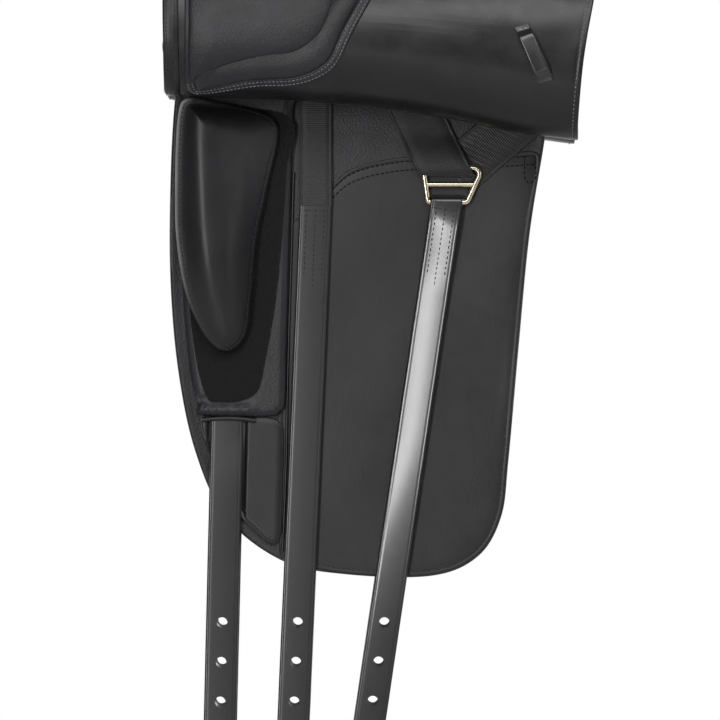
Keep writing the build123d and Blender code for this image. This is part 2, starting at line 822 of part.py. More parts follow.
def dee_staples():
    """Cast staples on the tree's head that hold the front dees."""
    with BuildPart() as staples:
        for side in (-1, 1):
            with BuildSketch(Plane.YZ.offset(DEE_X - 4)):
                with Locations((side * (DEE_Y - 3.25), DEE_Z)):
                    Rectangle(15.5, 9)
                with Locations((side * DEE_Y, DEE_Z)):
                    Circle(2.2, mode=Mode.SUBTRACT)
            extrude(amount=8)
    return staples


def front_dee(side):
    """Wire dee hanging from its staple."""
    with BuildPart() as dee:
        with BuildLine(Plane.XZ.offset(DEE_Y)) as path:
            FilletPolyline((DEE_X - 12, DEE_Z), (DEE_X + 12, DEE_Z), (DEE_X + 10, DEE_Z - 21),
                           (DEE_X - 10, DEE_Z - 21), radius=[3, 3, 7, 7], close=True)
        with BuildSketch(Plane(path.line @ 0, z_dir=path.line % 0)):
            Circle(1.5)
        sweep()
        if side == "off":
            mirror(about=Plane.XZ, mode=Mode.REPLACE)
    return dee


def saddle_nails():
    """Round-headed nails at the pommel's sides."""
    with BuildPart() as nails:
        for side in (-1, 1):
            with BuildSketch(Plane.XZ.offset(-side * 66)):
                with Locations((-158, 118)):
                    Circle(5)
            extrude(amount=-side * 3)
    return nails


SINGLE_PIECES = (
    seat_cover, tree_frame, head_plate, gullet_plate, tree_rivets, spring_steels, seat_webbing, seat_foam,
    seat_welt, channel_lining, point_pockets, dee_staples, saddle_nails,
)
PAIRED_PIECES = (
    panel, sweat_flap, lower_pad, front_pad, loop_patch, knee_block, block_hooks, front_billet, middle_billet,
    rear_billet, strap_webbing, middle_webbing, middle_web_top, v_webbing, v_ring, flap, flap_pad, keeper, skirt,
    stirrup_bar, bar_catch, front_dee,
)

for make in SINGLE_PIECES:
    save(make(), make.__name__)
for make in PAIRED_PIECES:
    both_sides(make, make.__name__)
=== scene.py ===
import math

import bpy
import numpy as np
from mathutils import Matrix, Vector, noise


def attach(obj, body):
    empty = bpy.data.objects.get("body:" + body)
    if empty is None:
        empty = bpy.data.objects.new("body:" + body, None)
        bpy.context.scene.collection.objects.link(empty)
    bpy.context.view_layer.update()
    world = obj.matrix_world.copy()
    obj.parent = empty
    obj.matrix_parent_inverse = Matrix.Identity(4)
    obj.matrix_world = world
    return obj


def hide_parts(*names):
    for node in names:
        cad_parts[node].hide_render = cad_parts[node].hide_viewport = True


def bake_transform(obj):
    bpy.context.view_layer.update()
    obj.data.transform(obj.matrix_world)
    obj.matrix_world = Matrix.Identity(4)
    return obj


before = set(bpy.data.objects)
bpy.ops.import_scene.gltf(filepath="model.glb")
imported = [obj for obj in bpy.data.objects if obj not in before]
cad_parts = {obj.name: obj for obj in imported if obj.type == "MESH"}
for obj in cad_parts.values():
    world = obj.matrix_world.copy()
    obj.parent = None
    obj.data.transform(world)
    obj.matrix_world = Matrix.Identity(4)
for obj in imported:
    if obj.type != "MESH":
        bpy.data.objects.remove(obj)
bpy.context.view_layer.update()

# English dressage saddle, its flaps rolled up. Sizes are millimetres until a mesh is made.
# d is the distance outward from the symmetry plane; the near side lies at -Y.
MM = 0.001
NEAR, OFF = -1, 1
SIDES = ((NEAR, "near"), (OFF, "off"))

ARC_D, ARC_Z, ARC_R = 22.0, -20.0, 120.0       # barrel that the sweat flaps lie on
SWEAT_T = 4.0
SWEAT_FACE = ARC_D + ARC_R + SWEAT_T
STRAP_IN = SWEAT_FACE + 3.3
BILLET_W, BILLET_T = 26.0, 3.5
PATCH_IN = SWEAT_FACE + 10.0
BLOCK_IN = PATCH_IN + 1.2 + 0.3 + 1.0
HINGE_D, HINGE_Z = 105.0, 84.0
ROLL_D, ROLL_HALF, ROLL_TOP = 215.0, 50.0, 135.0
ROLL_LEAN = 16.0                               # the face slopes outward and down to its lower fold
RING_D = SWEAT_FACE + 6.0
STITCH_PITCH = 4.0
REAR_TWIST = 9.0                               # degrees that the rear billet turns to the front


# ------------------------------------------------------------------ colour and material
def linear(code):
    """sRGB hex to a linear colour with alpha."""
    parts = [int(code[i:i + 2], 16) / 255 for i in (1, 3, 5)]
    return tuple(c / 12.92 if c <= 0.04045 else ((c + 0.055) / 1.055) ** 2.4 for c in parts) + (1.0,)


def put(tree, kind, settings=None, **inputs):
    """Add a node, set its properties and its inputs; an input is a value or another node's socket."""
    made = tree.nodes.new(kind)
    for key, value in (settings or {}).items():
        setattr(made, key, value)
    for key, value in inputs.items():
        numbered = key[0] == "i" and key[1:].isdigit()
        socket = made.inputs[int(key[1:]) if numbered else key.replace("_", " ")]
        if isinstance(value, bpy.types.NodeSocket):
            tree.links.new(value, socket)
        else:
            socket.default_value = value
    return made


def new_material(name, roughness, specular=0.5, sheen=0.0, coat=0.0, coat_rough=0.3, metallic=0.0):
    mat = bpy.data.materials.new(name)
    mat.use_nodes = True
    tree = mat.node_tree
    shader = tree.nodes["Principled BSDF"]
    shader.inputs["Roughness"].default_value = roughness
    shader.inputs["Metallic"].default_value = metallic
    shader.inputs["Specular IOR Level"].default_value = specular
    shader.inputs["Sheen Weight"].default_value = sheen
    shader.inputs["Coat Weight"].default_value = coat
    shader.inputs["Coat Roughness"].default_value = coat_rough
    where = put(tree, "ShaderNodeTexCoord").outputs["Object"]
    return mat, tree, shader, where


def two_tones(tree, shader, pattern, low, high, dark, light):
    """Colour that runs from dark to light between two levels of a pattern."""
    ramp = put(tree, "ShaderNodeValToRGB", Fac=pattern.outputs["Fac"])
    for stop, position, code in zip(ramp.color_ramp.elements, (low, high), (dark, light)):
        stop.position = position
        stop.color = linear(code)
    tree.links.new(ramp.outputs["Color"], shader.inputs["Base Color"])


def leather(name, dark, light, roughness, grain_mm, grain_depth, crease_mm=9.0, crease_depth=0.00025,
            specular=0.5, sheen=0.0, coat=0.0, rough_spread=0.08, coat_rough=0.3):
    """Dyed leather: pebbled grain, soft creases, and a little tone and gloss variation."""
    mat, tree, shader, where = new_material(name, roughness, specular, sheen, coat, coat_rough)
    cells = put(tree, "ShaderNodeTexVoronoi", {"feature": "SMOOTH_F1"}, Vector=where,
                Scale=1 / (grain_mm * MM), Smoothness=0.35)
    fine = put(tree, "ShaderNodeTexNoise", Vector=where, Scale=1 / (0.5 * grain_mm * MM), Detail=3.0)
    crease = put(tree, "ShaderNodeTexNoise", Vector=where, Scale=1 / (crease_mm * MM), Detail=4.0,
                 Roughness=0.55)
    tone = put(tree, "ShaderNodeTexNoise", Vector=where, Scale=1 / (38 * MM), Detail=3.0)
    two_tones(tree, shader, tone, 0.35, 0.68, dark, light)
    gloss = put(tree, "ShaderNodeMapRange", Value=crease.outputs["Fac"], i3=roughness - rough_spread,
                i4=roughness + rough_spread)
    tree.links.new(gloss.outputs["Result"], shader.inputs["Roughness"])
    mixed = put(tree, "ShaderNodeMath", {"operation": "MULTIPLY_ADD"}, i0=fine.outputs["Fac"], i1=0.35,
                i2=cells.outputs["Distance"])
    low = put(tree, "ShaderNodeBump", Strength=0.7, Distance=crease_depth, Height=crease.outputs["Fac"])
    top = put(tree, "ShaderNodeBump", Strength=0.8, Distance=grain_depth, Height=mixed.outputs["Value"],
              Normal=low.outputs["Normal"])
    tree.links.new(top.outputs["Normal"], shader.inputs["Normal"])
    return mat


def woven(name, dark, light, roughness, thread_mm, depth, sheen=0.3):
    """Nylon or cotton: fine crossed threads finer than the ribs of the mesh."""
    mat, tree, shader, where = new_material(name, roughness, 0.5, sheen)
    waves = put(tree, "ShaderNodeTexWave", {"wave_type": "BANDS", "bands_direction": "DIAGONAL"},
                Vector=where, Scale=0.32 / (thread_mm * MM), Distortion=1.5)
    blot = put(tree, "ShaderNodeTexNoise", Vector=where, Scale=1 / (3 * MM), Detail=4.0)
    two_tones(tree, shader, blot, 0.3, 0.7, dark, light)
    bump = put(tree, "ShaderNodeBump", Strength=0.6, Distance=depth, Height=waves.outputs["Fac"])
    tree.links.new(bump.outputs["Normal"], shader.inputs["Normal"])
    return mat


def metal(name, code, roughness, scratch_mm):
    """Plated or forged metal with faint polishing marks."""
    mat, tree, shader, where = new_material(name, roughness, 0.5, metallic=1.0)
    marks = put(tree, "ShaderNodeTexNoise", Vector=where, Scale=1 / (scratch_mm * MM), Detail=6.0)
    gloss = put(tree, "ShaderNodeMapRange", Value=marks.outputs["Fac"], i3=roughness * 0.6,
                i4=roughness * 1.5)
    tree.links.new(gloss.outputs["Result"], shader.inputs["Roughness"])
    shader.inputs["Base Color"].default_value = linear(code)
    bump = put(tree, "ShaderNodeBump", Strength=0.3, Distance=0.00003, Height=marks.outputs["Fac"])
    tree.links.new(bump.outputs["Normal"], shader.inputs["Normal"])
    return mat


def laminated_wood(name):
    """Laminated beech: thin pale plies, stretched grain."""
    mat, tree, shader, where = new_material(name, 0.55)
    stretch = put(tree, "ShaderNodeMapping", Vector=where, Scale=(8, 60, 600))
    rings = put(tree, "ShaderNodeTexNoise", Vector=stretch.outputs["Vector"], Scale=1.6, Detail=5.0)
    two_tones(tree, shader, rings, 0.0, 1.0, "#8a6238", "#caa06a")
    bump = put(tree, "ShaderNodeBump", Strength=0.4, Distance=0.0002, Height=rings.outputs["Fac"])
    tree.links.new(bump.outputs["Normal"], shader.inputs["Normal"])
    return mat


# Waxed calf: tight pores, a soft satin gloss.
calf = leather("waxed_calf", "#141416", "#1b1b1e", 0.40, 0.9, 0.00004, 14.0, 0.0002)
# Flap face: the same calf, more polish.
polished = leather("polished_calf", "#131315", "#19191c", 0.30, 0.9, 0.00003, 16.0, 0.00015)
# Drum-dyed soft hide over foam: open pebble grain.
grained = leather("grained_hide", "#1b1b1e", "#252529", 0.46, 1.5, 0.00022, 12.0, 0.0003)
# Moulded hide of the knee block: the same grain pulled tight.
moulded = leather("moulded_hide", "#161618", "#1f1f22", 0.40, 1.2, 0.00008, 18.0, 0.0003)
# Bridle butt of the straps: firm, waxed, almost no grain.
bridle = leather("bridle_butt", "#141417", "#1b1b1f", 0.36, 0.8, 0.00003, 7.0, 0.00005, coat=0.9,
                 rough_spread=0.04, coat_rough=0.16)
# Cut edge and piping, dyed and burnished.
edge_dye = leather("burnished_edge", "#0f0f10", "#18181a", 0.45, 1.0, 0.00005)
seat_hide = leather("seat_hide", "#18181b", "#222226", 0.45, 1.3, 0.00014, 20.0, 0.0003)
webbing_black = woven("nylon_webbing", "#101012", "#1b1b1e", 0.42, 0.5, 0.00008, 0.2)
loop_pile = woven("loop_pile", "#060607", "#0e0e10", 0.95, 0.9, 0.0008, 0.12)
hook_nylon = woven("hook_tape", "#0d0d0e", "#151517", 0.6, 0.6, 0.0003, 0.1)
foam_cell = woven("open_cell_foam", "#b8a97c", "#cdbf95", 0.95, 0.9, 0.0004, 0.1)
thread_black = woven("bonded_thread", "#0b0b0c", "#202024", 0.5, 0.4, 0.0001, 0.3)
thread_dull = woven("waxed_black_thread", "#020202", "#060606", 0.85, 0.4, 0.0001, 0.0)
# Thread a little paler than black; most of its grey is a painted highlight on black thread.
pale_thread_painted_highlight = woven("waxed_thread", "#5a5a5e", "#8a8a8e", 0.5, 0.4, 0.0001, 0.3)
nickel = metal("polished_nickel", "#e6dcc0", 0.16, 2.0)
bar_steel = metal("forged_stainless", "#b9bcc2", 0.28, 0.8)
spring_steel = metal("blued_spring_steel", "#6c7078", 0.38, 0.6)
beech = laminated_wood("laminated_beech")


# ------------------------------------------------------------------ mesh making
def make(name, verts, faces, material, body, replaces=(), smooth=True):
    """Mesh object in metres from millimetre points, with its body, slot and the CAD nodes it stands for."""
    mesh = bpy.data.meshes.new(name)
    mesh.from_pydata([Vector(v) * MM for v in verts], [], faces)
    mesh.validate()
    obj = bpy.data.objects.new(name, mesh)
    bpy.context.scene.collection.objects.link(obj)
    mesh.materials.append(material)
    outward(obj)
    for polygon in mesh.polygons:
        polygon.use_smooth = smooth
    mesh.set_sharp_from_angle(angle=math.radians(52))
    if body:
        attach(obj, body)
    if replaces:
        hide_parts(*replaces)
    return obj


def outward(obj):
    """Turn all faces outward."""
    import bmesh
    work = bmesh.new()
    work.from_mesh(obj.data)
    bmesh.ops.remove_doubles(work, verts=work.verts, dist=0.000005)
    bmesh.ops.recalc_face_normals(work, faces=work.faces)
    work.to_mesh(obj.data)
    work.free()


def smooth_loop(points, count, closed=True):
    """Even points on a Catmull-Rom curve through the given ones."""
    pts = [np.array(p, float) for p in points]
    n = len(pts)
    dense = []
    spans = n if closed else n - 1
    for i in range(spans):
        if closed:
            a, b, c, d = (pts[(i + k) % n] for k in (-1, 0, 1, 2))
        else:
            a, b, c, d = (pts[min(max(i + k, 0), n - 1)] for k in (-1, 0, 1, 2))
        for t in np.linspace(0, 1, 24, endpoint=False):
            dense.append(0.5 * (2 * b + (c - a) * t + (2 * a - 5 * b + 4 * c - d) * t * t
                                + (3 * b - a - 3 * c + d) * t ** 3))
    if not closed:
        dense.append(pts[-1])
    dense = np.array(dense)
    ring = np.vstack([dense, dense[:1]]) if closed else dense
    steps = np.concatenate([[0], np.cumsum(np.linalg.norm(np.diff(ring, axis=0), axis=1))])
    marks = np.linspace(0, steps[-1], count, endpoint=not closed)
    return np.array([[np.interp(m, steps, ring[:, k]) for k in range(ring.shape[1])] for m in marks])


def loop_normals(loop):
    """Outward unit normals of a closed 2-D loop."""
    ahead, behind = np.roll(loop, -1, axis=0), np.roll(loop, 1, axis=0)
    tangent = ahead - behind
    normal = np.stack([tangent[:, 1], -tangent[:, 0]], axis=1)
    normal /= np.linalg.norm(normal, axis=1)[:, None] + 1e-9
    area = 0.5 * np.sum(loop[:, 0] * ahead[:, 1] - ahead[:, 0] * loop[:, 1])
    return normal if area > 0 else -normal


def inset(loop, distance, spread=0):
    """Loop moved inward; spread evens out the direction over that many points, so corners do not fold."""
    normal = loop_normals(loop)
    if spread:
        normal = sum(np.roll(normal, k, axis=0) for k in range(-spread, spread + 1))
        normal /= np.linalg.norm(normal, axis=1)[:, None] + 1e-9
    return loop - normal * distance


def edge_distance(points, loop):
    """Distance of each point to the loop."""
    gaps = points[:, None, :] - loop[None, :, :]
    return np.sqrt((gaps ** 2).sum(axis=2).min(axis=1))


def leaf(name, outline, lay, thick, face, material, body, replaces=(), rings=26, around=240,
         round_edge=None,
         centre=None):
    """Closed leather leaf from a 2-D outline.

    lay(u, v, h) places a point at height h above the leaf's back; face(u, v, gap) is the extra
    height of the front at a distance gap from the outline."""
    loop = smooth_loop(outline, around)
    r = min(thick / 2, round_edge or thick / 2)
    middle = np.array(centre) if centre else loop.mean(axis=0)
    rows = []
    pace = np.linalg.norm(loop[1] - loop[0])
    spread = max(3, int(math.ceil(1.8 * (r + 3.2) / pace)))
    last = inset(loop, r, spread)
    for f in (0.0, 0.5):
        rows.append((middle + (last - middle) * max(f, 0.002), 0.0, False))
    for angle in (-90, -45, 0):
        a = math.radians(angle)
        rows.append((inset(loop, r * (1 - math.cos(a)), spread), r + r * math.sin(a), False))
    for angle in (0, 30, 60, 90):
        a = math.radians(angle)
        rows.append((inset(loop, r * (1 - math.cos(a)), spread), thick - r + r * math.sin(a), angle > 50))
    for step in (0.8, 1.6, 2.4, 3.2):
        rows.append((inset(loop, r + step, spread), thick, True))
    last = inset(loop, r + 3.2, spread)
    for i in range(1, rings + 1):
        f = 1 - i / rings
        rows.append((middle + (last - middle) * max(f, 0.002), thick, True))
    verts = []
    for points, height, front in rows:
        gap = edge_distance(points, loop) if front else None
        for k, (u, v) in enumerate(points):
            lift = face(u, v, gap[k]) if front else 0.0
            verts.append(lay(u, v, height + lift))
    n, m = around, len(rows)
    faces = ring_faces(m, n)
    faces.append(list(range(n)))
    faces.append([(m - 1) * n + k for k in range(n)])
    return make(name, verts, faces, material, body, replaces)


def ring_faces(count, per_ring):
    """Quads between neighbouring rings of per_ring points each."""
    return [(i * per_ring + k, i * per_ring + (k + 1) % per_ring, (i + 1) * per_ring + (k + 1) % per_ring,
             (i + 1) * per_ring + k) for i in range(count - 1) for k in range(per_ring)]


def grid_solid(name, rows, material, body, replaces=(), closed_rows=False):
    """Solid from closed section rings; the first and last rings are capped."""
    n = len(rows[0])
    verts = [v for row in rows for v in row]
    faces = ring_faces(len(rows), n)
    if closed_rows:
        faces += [((len(rows) - 1) * n + k, (len(rows) - 1) * n + (k + 1) % n, (k + 1) % n, k)
                  for k in range(n)]
    else:
        faces.append(list(range(n)))
        faces.append([(len(rows) - 1) * n + k for k in range(n)])
    return make(name, verts, faces, material, body, replaces)


def tube(name, points, radius, material, body, closed=False, sides=10, replaces=()):
    """Round cord along a line of points."""
    pts = [Vector(p) for p in points]
    count = len(pts)
    rows = []
    up = Vector((0, 1, 0))
    for i in range(count):
        ahead = pts[(i + 1) % count] if closed or i < count - 1 else pts[i]
        behind = pts[i - 1] if closed or i > 0 else pts[i]
        along = (ahead - behind).normalized()
        side_way = along.cross(up)
        if side_way.length < 0.1:
            side_way = along.cross(Vector((0, 0, 1)))
        side_way.normalize()
        up = side_way.cross(along).normalized()
        rows.append([pts[i] + radius * (math.cos(a) * side_way + math.sin(a) * up)
                     for a in [2 * math.pi * k / sides for k in range(sides)]])
    return grid_solid(name, rows, material, body, replaces, closed_rows=closed)


def stitch_tree():
    """Geometry nodes: one small thread capsule at each pitch along every line of the mesh."""
    tree = bpy.data.node_groups.new("stitch_row", "GeometryNodeTree")
    face = tree.interface
    face.new_socket("Geometry", in_out="INPUT", socket_type="NodeSocketGeometry")
    for label, value in (("Pitch", 0.004), ("Stitch length", 0.0028), ("Thread", 0.0008)):
        face.new_socket(label, in_out="INPUT", socket_type="NodeSocketFloat").default_value = value
    face.new_socket("Material", in_out="INPUT", socket_type="NodeSocketMaterial")
    face.new_socket("Geometry", in_out="OUTPUT", socket_type="NodeSocketGeometry")
    given = put(tree, "NodeGroupInput").outputs
    curve = put(tree, "GeometryNodeMeshToCurve", Mesh=given["Geometry"])
    spots = put(tree, "GeometryNodeCurveToPoints", {"mode": "LENGTH"}, Curve=curve.outputs["Curve"],
                Length=given["Pitch"])
    turn = put(tree, "FunctionNodeAlignRotationToVector", {"axis": "X"}, Vector=spots.outputs["Tangent"])
    ball = put(tree, "GeometryNodeMeshUVSphere", Segments=8, Rings=5, Radius=0.5)
    size = put(tree, "ShaderNodeCombineXYZ", X=given["Stitch length"], Y=given["Thread"], Z=given["Thread"])
    shaped = put(tree, "GeometryNodeTransform", Geometry=ball.outputs["Mesh"], Scale=size.outputs["Vector"])
    smooth = put(tree, "GeometryNodeSetShadeSmooth", Geometry=shaped.outputs["Geometry"])
    placed = put(tree, "GeometryNodeInstanceOnPoints", Points=spots.outputs["Points"],
                 Instance=smooth.outputs["Geometry"], Rotation=turn.outputs["Rotation"])
    real = put(tree, "GeometryNodeRealizeInstances", Geometry=placed.outputs["Instances"])
    dyed = put(tree, "GeometryNodeSetMaterial", Geometry=real.outputs["Geometry"],
               Material=given["Material"])
    out = put(tree, "NodeGroupOutput")
    tree.links.new(dyed.outputs["Geometry"], out.inputs[0])
    return tree


STITCH_TREE = stitch_tree()
STITCH_RUNS = {}


def sew(body, runs, pitch=STITCH_PITCH, length=2.9, thread=0.85, material=None):
    """Keep lines of stitches for a body; they are all made at the end."""
    key = (body, pitch, length, thread, (material or thread_black).name)
    STITCH_RUNS.setdefault(key, []).extend(runs)


def make_stitches():
    for number, ((body, pitch, length, thread, dye), runs) in enumerate(STITCH_RUNS.items()):
        verts, edges = [], []
        for run in runs:
            start = len(verts)
            verts += [Vector(p) * MM for p in run]
            edges += [(start + i, start + i + 1) for i in range(len(run) - 1)]
        mesh = bpy.data.meshes.new("stitch_lines")
        mesh.from_pydata(verts, edges, [])
        guide = bpy.data.objects.new("stitch_guide", mesh)
        bpy.context.scene.collection.objects.link(guide)
        mod = guide.modifiers.new("stitches", "NODES")
        mod.node_group = STITCH_TREE
        wanted = {"Pitch": pitch * MM, "Stitch length": length * MM, "Thread": thread * MM,
                  "Material": bpy.data.materials[dye]}
        for item in STITCH_TREE.interface.items_tree:
            if item.in_out == "INPUT" and item.name in wanted:
                mod[item.identifier] = wanted[item.name]
        seen = guide.evaluated_get(bpy.context.evaluated_depsgraph_get())
        made = bpy.data.meshes.new_from_object(seen)
        bpy.data.objects.remove(guide)
        obj = bpy.data.objects.new(f"stitches_{body}_{number}", made)
        bpy.context.scene.collection.objects.link(obj)
        if not made.materials:
            made.materials.append(bpy.data.materials[dye])
        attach(obj, body)


# ------------------------------------------------------------------ shapes shared by several pieces
def ease(t):
    t = min(1.0, max(0.0, t))
    return t * t * (3 - 2 * t)


def hump(value, centre, width):
    """Smooth bump of height 1 at centre, 0 beyond width."""
    return ease(1 - abs(value - centre) / width)


def shoulder(gap, width):
    """Quarter-round rise from 0 at the edge to 1 at width."""
    return math.sqrt(max(0.0, 1 - (1 - min(gap / width, 1)) ** 2))


def barrel(side, first=0.0):
    """Lay a leaf on the barrel: flat below ARC_Z, over the arc above it."""
    def lay(u, v, h):
        radius = ARC_R + first + h
        if v <= ARC_Z:
            return (u, side * (ARC_D + radius), v)
        rise = min(v - ARC_Z, radius * 0.985)
        return (u, side * (ARC_D + math.sqrt(radius ** 2 - rise ** 2)), v)
    return lay


def flat_lay(side, depth):
    return lambda u, v, h: (u, side * (depth + h), v)


def section_point(x, v):
    """Rolled flap's section at x: v is the length along it from its lowest line, up the face.

    Returns outward distance, height and the outward normal (d, z)."""
    table = roll_table(round(x))
    v = min(max(v, table[0][0]), table[-1][0])
    i = min(int(np.searchsorted(ROLL_CACHE_S[round(x)], v)), len(table) - 1)
    i = max(i, 1)
    a, b = table[i - 1], table[i]
    t = (v - a[0]) / max(b[0] - a[0], 1e-6)
    return [a[k] + (b[k] - a[k]) * t for k in range(1, 5)]


ROLL_CACHE, ROLL_CACHE_S = {}, {}


ROLL_LOW_LINE = ((-194, 4), (-162, 2.4), (-90, -3), (-14, -8.9), (44, -18.6), (95, -29.9), (141, -34.7),
                 (160, -35))
LOW_FIT = np.polyfit([p[0] for p in ROLL_LOW_LINE], [p[1] for p in ROLL_LOW_LINE], 4)


def roll_low(x):
    """Height of the roll's lowest line: higher in front than behind."""
    return float(np.polyval(LOW_FIT, x))


def roll_table(x):
    """Points (length, d, z, normal d, normal z) from the tucked end to the top of the roll and its root."""
    if x in ROLL_CACHE:
        return ROLL_CACHE[x]
    low = roll_low(x)
    half = (ROLL_TOP - low) / 2
    power = 2 / 2.3
    ring = []
    for degree in range(172, 451, 3):
        c, s = math.cos(math.radians(degree)), math.sin(math.radians(degree))
        z = low + half + half * math.copysign(abs(s) ** power, s)
        above = max(0.0, (z - low - 42) / (ROLL_TOP - low - 42))
        sag = ROLL_LEAN * above ** 1.4 if c > 0 else ROLL_LEAN * above
        ring.append((ROLL_D + ROLL_HALF * math.copysign(abs(c) ** power, c) - sag, z))
    top = ring[-1]
    root = (HINGE_D + 4.5, HINGE_Z + 4.0)
    for i in range(1, 22):
        t = i / 21
        a = Vector(top)
        b = Vector((top[0] - 42, top[1]))
        c = Vector((root[0] + 26, root[1] + 27))
        e = Vector(root)
        p = a * (1 - t) ** 3 + b * 3 * t * (1 - t) ** 2 + c * 3 * t * t * (1 - t) + e * t ** 3
        ring.append((p.x, p.y))
    lengths = [0.0]
    for p, q in zip(ring, ring[1:]):
        lengths.append(lengths[-1] + math.dist(p, q))
    lowest = min(range(len(ring)), key=lambda k: ring[k][1])
    zero = lengths[lowest]
    table = []
    for k, (d, z) in enumerate(ring):
        p, q = ring[max(k - 1, 0)], ring[min(k + 1, len(ring) - 1)]
        along = Vector((q[0] - p[0], q[1] - p[1])).normalized()
        table.append((lengths[k] - zero, d, z, along.y, -along.x))
    ROLL_CACHE[x] = table
    ROLL_CACHE_S[x] = [row[0] for row in table]
    return table


def roll_lay(side, first=0.0):
    def lay(u, v, h):
        x0, x1 = math.floor(u), math.floor(u) + 1
        t = u - x0
        a, b = section_point(x0, v), section_point(x1, v)
        d, z, nd, nz = [a[k] + (b[k] - a[k]) * t for k in range(4)]
        return (u, side * (d + nd * (first + h)), z + nz * (first + h))
    return lay


def up_the_face(x, z):
    """Length v up the roll's face at which it reaches height z."""
    table = [row for row in roll_table(round(x)) if row[0] >= 0 and row[1] >= ROLL_D - ROLL_LEAN]
    for p, q in zip(table, table[1:]):
        if p[2] <= z <= q[2]:
            return p[0] + (q[0] - p[0]) * (z - p[2]) / max(q[2] - p[2], 1e-6)
    return table[0][0] if z < table[0][2] else table[-1][0]


def seam(outline, gap, lay, height, start=0.0, end=1.0, count=400):
    """Line at a gap inside an outline, from one share of its length to another."""
    loop = inset(smooth_loop(outline, count), gap)
    first, last = int(start * count), int(end * count)
    return [lay(loop[k % count][0], loop[k % count][1], height) for k in range(first, last + 1)]


def line_on(points, lay, height, count=60):
    """Open smooth line laid on a surface."""
    return [lay(u, v, height) for u, v in smooth_loop(points, count, closed=False)]


# ------------------------------------------------------------------ sweat flap and what lies on it
SWEAT_OUTLINE = (
    (-172, 52), (-180, 30), (-186, 0), (-189.5, -60), (-190, -140), (-184, -216), (-170, -284),
    (-145, -338),
    (-100, -373), (-50, -384), (20, -385.5), (58, -370), (77, -338), (83, -292), (91, -203), (100, -110),
    (112, -35), (121, 30), (118, 52), (60, 52), (0, 52), (-90, 52),
)
OVERLAY = (
    (-98, -112), (-80, -90), (-61, -71.8), (-47.3, -59.7), (-33.5, -53.7), (-19, -50.4), (0.3, -47.6),
    (40, -45.6), (80, -44.5), (102, -43), (108.5, -48), (106.5, -66), (99, -110), (90, -203), (82, -292),
    (76, -338), (57.2, -369),
    (20, -384.3), (-50, -382.8), (-96, -372), (-104, -362), (-103, -300), (-101, -200),
)
PAD_FRONT = ((-174, 12), (-177, -10), (-180, -60), (-180.5, -140), (-174.5, -214), (-168, -246),
             (-164, -256))
PAD_REAR = ((-112, -256.8), (-101, -253), (-97, -243), (-96, -200), (-93.8, -114), (-92, -60), (-90.8, -10),
            (-91, 12))
LOW_FRONT = ((-158, -257.5), (-165.5, -260), (-161, -279), (-138, -330), (-120, -350), (-111, -358))
LOW_REAR = ((-104, -359), (-100.6, -351), (-100.1, -340), (-99.4, -310), (-98.6, -272), (-102, -261.5),
            (-112, -258), (-130, -257.5))
PATCH = (
    (-172, -14), (-175, -60), (-176, -140), (-170, -205), (-161, -240), (-150, -245), (-133, -244),
    (-119, -236), (-113, -212), (-104, -160), (-98.5, -100), (-96, -60), (-95, -14), )
BLOCK = (
    (-176, 0), (-150, -3), (-120, -9), (-105, -18), (-102.5, -34), (-110, -70), (-119, -115), (-123, -160),
    (-128, -192), (-143, -206), (-160, -196), (-176, -163), (-184, -122), (-186, -80), (-184, -18),
)
BLOCK_RISE = ((-200, 16), (-190, 25), (-178, 32.5), (-164, 36), (-150, 33.5), (-134, 26.5), (-118, 18),
              (-102, 10.5), (-86, 6))
BLOCK_LINE = smooth_loop(BLOCK_RISE, 160, closed=False)


def sweat_face(u, v, gap):
    """Rolled rim, a groove behind it, and slight unevenness of the leather."""
    rim = 0.7 * ease(1 - gap / 9) - 0.7 * hump(gap, 9.5, 1.6)
    return rim + 0.5 * noise.noise(Vector((u / 60, v / 80, 1.3)))


def overlay_face(u, v, gap):
    return 0.9 * noise.noise(Vector((u / 75, v / 95, 4.1))) * ease(gap / 15) - 0.25 * hump(gap, 3.2, 1.2)


def front_strap_line(v):
    return -144.0 - (-261.5 - v) * math.tan(math.radians(1.4))


def pad_face(u, v, gap):
    """Foam pad, full in the middle, with small puckers over the slot."""
    pucker = hump(v, -252, 8) * ease((-118 - u) / 10)
    fold = math.sin(u / 1.3 + 1.5 * math.sin(u / 5))
    return (3.4 * shoulder(gap, 7) - 3.4 + (2.4 + 0.45 * fold) * pucker
            - 1.2 * hump(v, -243, 5) * ease((-118 - u) / 10))


def low_pad_face(u, v, gap):
    away = abs(u - front_strap_line(v))
    groove = ease((17.5 - away) / 3.5)
    return 1.6 * shoulder(gap, 6) - 1.6 - 2.2 * groove * ease(gap / 4)


def block_face(u, v, gap):
    """Thick along its front, thin to the rear, rounded at its edge, with a soft ridge."""
    rise = float(np.interp(u + 0.10 * (v + 100), BLOCK_LINE[:, 0], BLOCK_LINE[:, 1]))
    low_end = 1 - 0.35 * ease((-120 - v) / 90)
    plump = shoulder(gap, 26) ** 0.9
    seam_dip = 0.8 * hump(gap, 3.4, 1.5)
    return max(0.0, (rise * low_end - 5) * plump) - seam_dip * 0.5


